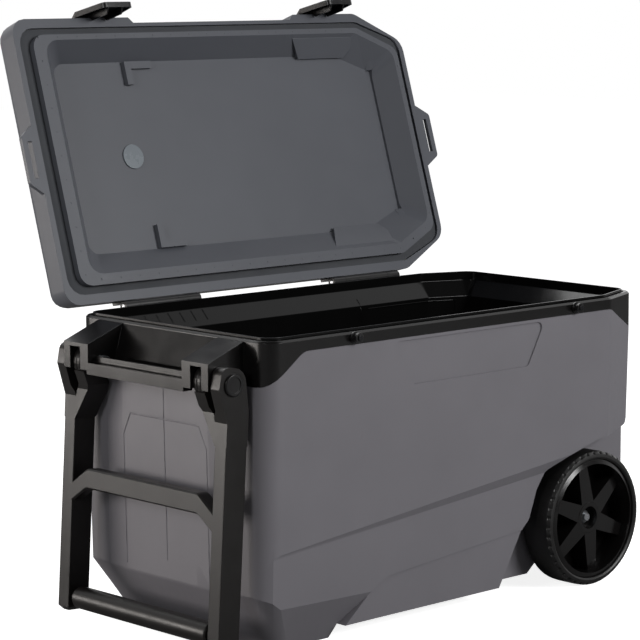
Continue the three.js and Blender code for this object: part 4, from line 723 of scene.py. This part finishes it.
block = bmesh.new()
for rows in TROUGH_ENDS:
    corners = []
    for y, near_z, far_z in rows:
        for x, z in zip(TROUGH_X, (near_z, far_z)):
            corners += [block.verts.new(Vector((x, y, height)) * MM) for height in (z, TROUGH_TOP_Z)]
    bmesh.ops.convex_hull(block, input=corners)
bmesh.ops.recalc_face_normals(block, faces=block.faces)
trough_ends = new_piece("trough_ends", block, shade_darkened_lid_polyethylene)
trough_ends.data.transform(opened)
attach(trough_ends, "lid")
print("trough ends", len(trough_ends.data.polygons), "faces")

# %% [markdown]
# ## Hinges
# Each hinge is two black leaves on a steel pin, and each leaf is held by four cross-recessed screws. The
# screw tree sets all four from a start and a step. The lid's screws are placed for the shut lid and then
# turned open with it.

# %% Hinge leaves and screws
ENDS = ("left", "right")
HINGE_XS = {"left": -229, "right": 208}
SCREW_OFFSET = 58
SCREW_COUNT = 4
SCREW_STEP = 2 * SCREW_OFFSET / (SCREW_COUNT - 1)
SCREW_RADIUS = 3.4
SCREW_HEIGHT = 1.6
TUB_LEAF = (221.6, 414)
LID_LEAF = (229.6, 454)

for end in ENDS:
    dress("hinge_tub_leaf_" + end, latch_nylon, 0.5)
    dress("hinge_lid_leaf_" + end, latch_nylon, 0.5)
    for body, (y, z) in (("tub", TUB_LEAF), ("lid", LID_LEAF)):
        start = Vector((HINGE_XS[end] - SCREW_OFFSET, y, z)) * MM
        values = {"Count": SCREW_COUNT, "Start": start, "Step": (SCREW_STEP * MM, 0, 0),
                  "Turn": (-math.pi / 2, 0, 0), "Head radius": SCREW_RADIUS * MM,
                  "Head height": SCREW_HEIGHT * MM, "Material": black_steel}
        screws = grow(f"{body}_leaf_screws_{end}", screw_tree, values)
        if body == "lid":
            screws.data.transform(opened)
        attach(screws, body)
        print(screws.name, len(screws.data.polygons), "faces")

# %% [markdown]
# ## Tow handle
# The fork at the top of each arm runs on a disc in the lug's slot. Two grooves run round the disc, and
# they show as fine arcs between the lug's cheeks. They are cut out with tubes bent to those arcs.

# %% Handle and grip
SIDES = {"front": -1, "back": 1}
PIVOT_X = -442.5
PIVOT_Z = 376.5
DISC_RADIUS = 23.5
DISC_GROOVES = (134.4, 142.4)
GROOVE_ARC = (78, 212)
ARC_STEP = 6
DISC_GROOVE_RADIUS = 1.6

turns = [math.radians(degrees) for degrees in range(*GROOVE_ARC, ARC_STEP)]
arc = [(PIVOT_X + DISC_RADIUS * math.cos(a), PIVOT_Z + DISC_RADIUS * math.sin(a)) for a in turns]
arcs = []
for y in DISC_GROOVES:
    for sign in SIDES.values():
        arcs.append([Vector((x, sign * y, z)) * MM for x, z in arc])
disc_grooves = tube_along("disc_grooves", arcs, DISC_GROOVE_RADIUS)
handle = dress("tow_handle", handle_nylon, 1.2, cutters=(disc_grooves,))
dress("tow_grip", handle_nylon, 0.6)
print("handle", len(handle.data.polygons), "faces")

# %% [markdown]
# ## Wheels
# The hub with its six spokes is polished black. The tyre is a separate blow-moulded ring, duller, with
# a notch every few degrees in both shoulders. The notches show in the tyre's outline, so they are cut
# from the mesh with a ring of bars, and not only drawn in the material.

# %% Hubs and tyres
AXLE_X = 275.5
AXLE_Z = 85.5
TYRE_RADIUS = 107.5
TYRE_YS = (166, 224)
NOTCHES = 44
NOTCH = (4.5, 11, 9)

for name, sign in SIDES.items():
    cutters = []
    for y in TYRE_YS:
        values = {"Count": NOTCHES, "Radius": TYRE_RADIUS * MM, "Bar": Vector(NOTCH) * MM,
                  "Centre": Vector((AXLE_X, sign * y, AXLE_Z)) * MM}
        cutters.append(grow("notches", ring_tree, values))
    tyre = dress("tyre_" + name, tyre_plastic, 0.6, cutters=cutters)
    hub = dress("wheel_hub_" + name, hub_polypropylene, 0.8)
    print(name, "tyre", len(tyre.data.polygons), "hub", len(hub.data.polygons))

# %% [markdown]
# ## Rim, latches and small parts
# The rest needs only rounded edges and the right finish. Each row gives a piece its plastic or steel and
# the width of its rounding in millimetres: the larger the moulding, the rounder its edges.

# %% Rim and small mouldings
FINISHES = {
    "rim_frame": (rim_polypropylene, 1.2),
    "drain_cap": (rim_polypropylene, 0.6),
    "drain_tube": (rim_polypropylene, 0.4),
    "drain_nut": (rim_polypropylene, 0.4),
}
for end in ENDS:
    FINISHES["latch_" + end] = (latch_nylon, 0.8)
    FINISHES["keeper_" + end] = (latch_nylon, 0.4)
    FINISHES["keeper_screw_" + end] = (black_steel, 0.4)
for name in SIDES:
    FINISHES["pivot_bolt_" + name] = (latch_nylon, 0.4)

for node, (material, width) in FINISHES.items():
    piece = dress(node, material, width)
    print(node, len(piece.data.polygons), "faces")

# %% [markdown]
# The foams, the seals and the plain steel parts keep their CAD meshes and get a material.

# %% Plain solids
PLAIN = {
    "body_foam": foam_cells,
    "lid_foam": foam_cells,
    "lid_gasket": seal_rubber,
    "drain_seal": seal_rubber,
    "drain_cap_seal": seal_rubber,
}
moulded_pieces = [piece.name for piece in bpy.data.objects if piece.name.endswith("_moulded")]
replaced = {name.removesuffix("_moulded") for name in moulded_pieces}
for node, solid in frame["nodes"].items():
    if node in replaced:
        continue
    solid.data.materials.clear()
    solid.data.materials.append(PLAIN.get(node, zinc_steel))
print(len(frame["nodes"]) - len(replaced), "plain solids")
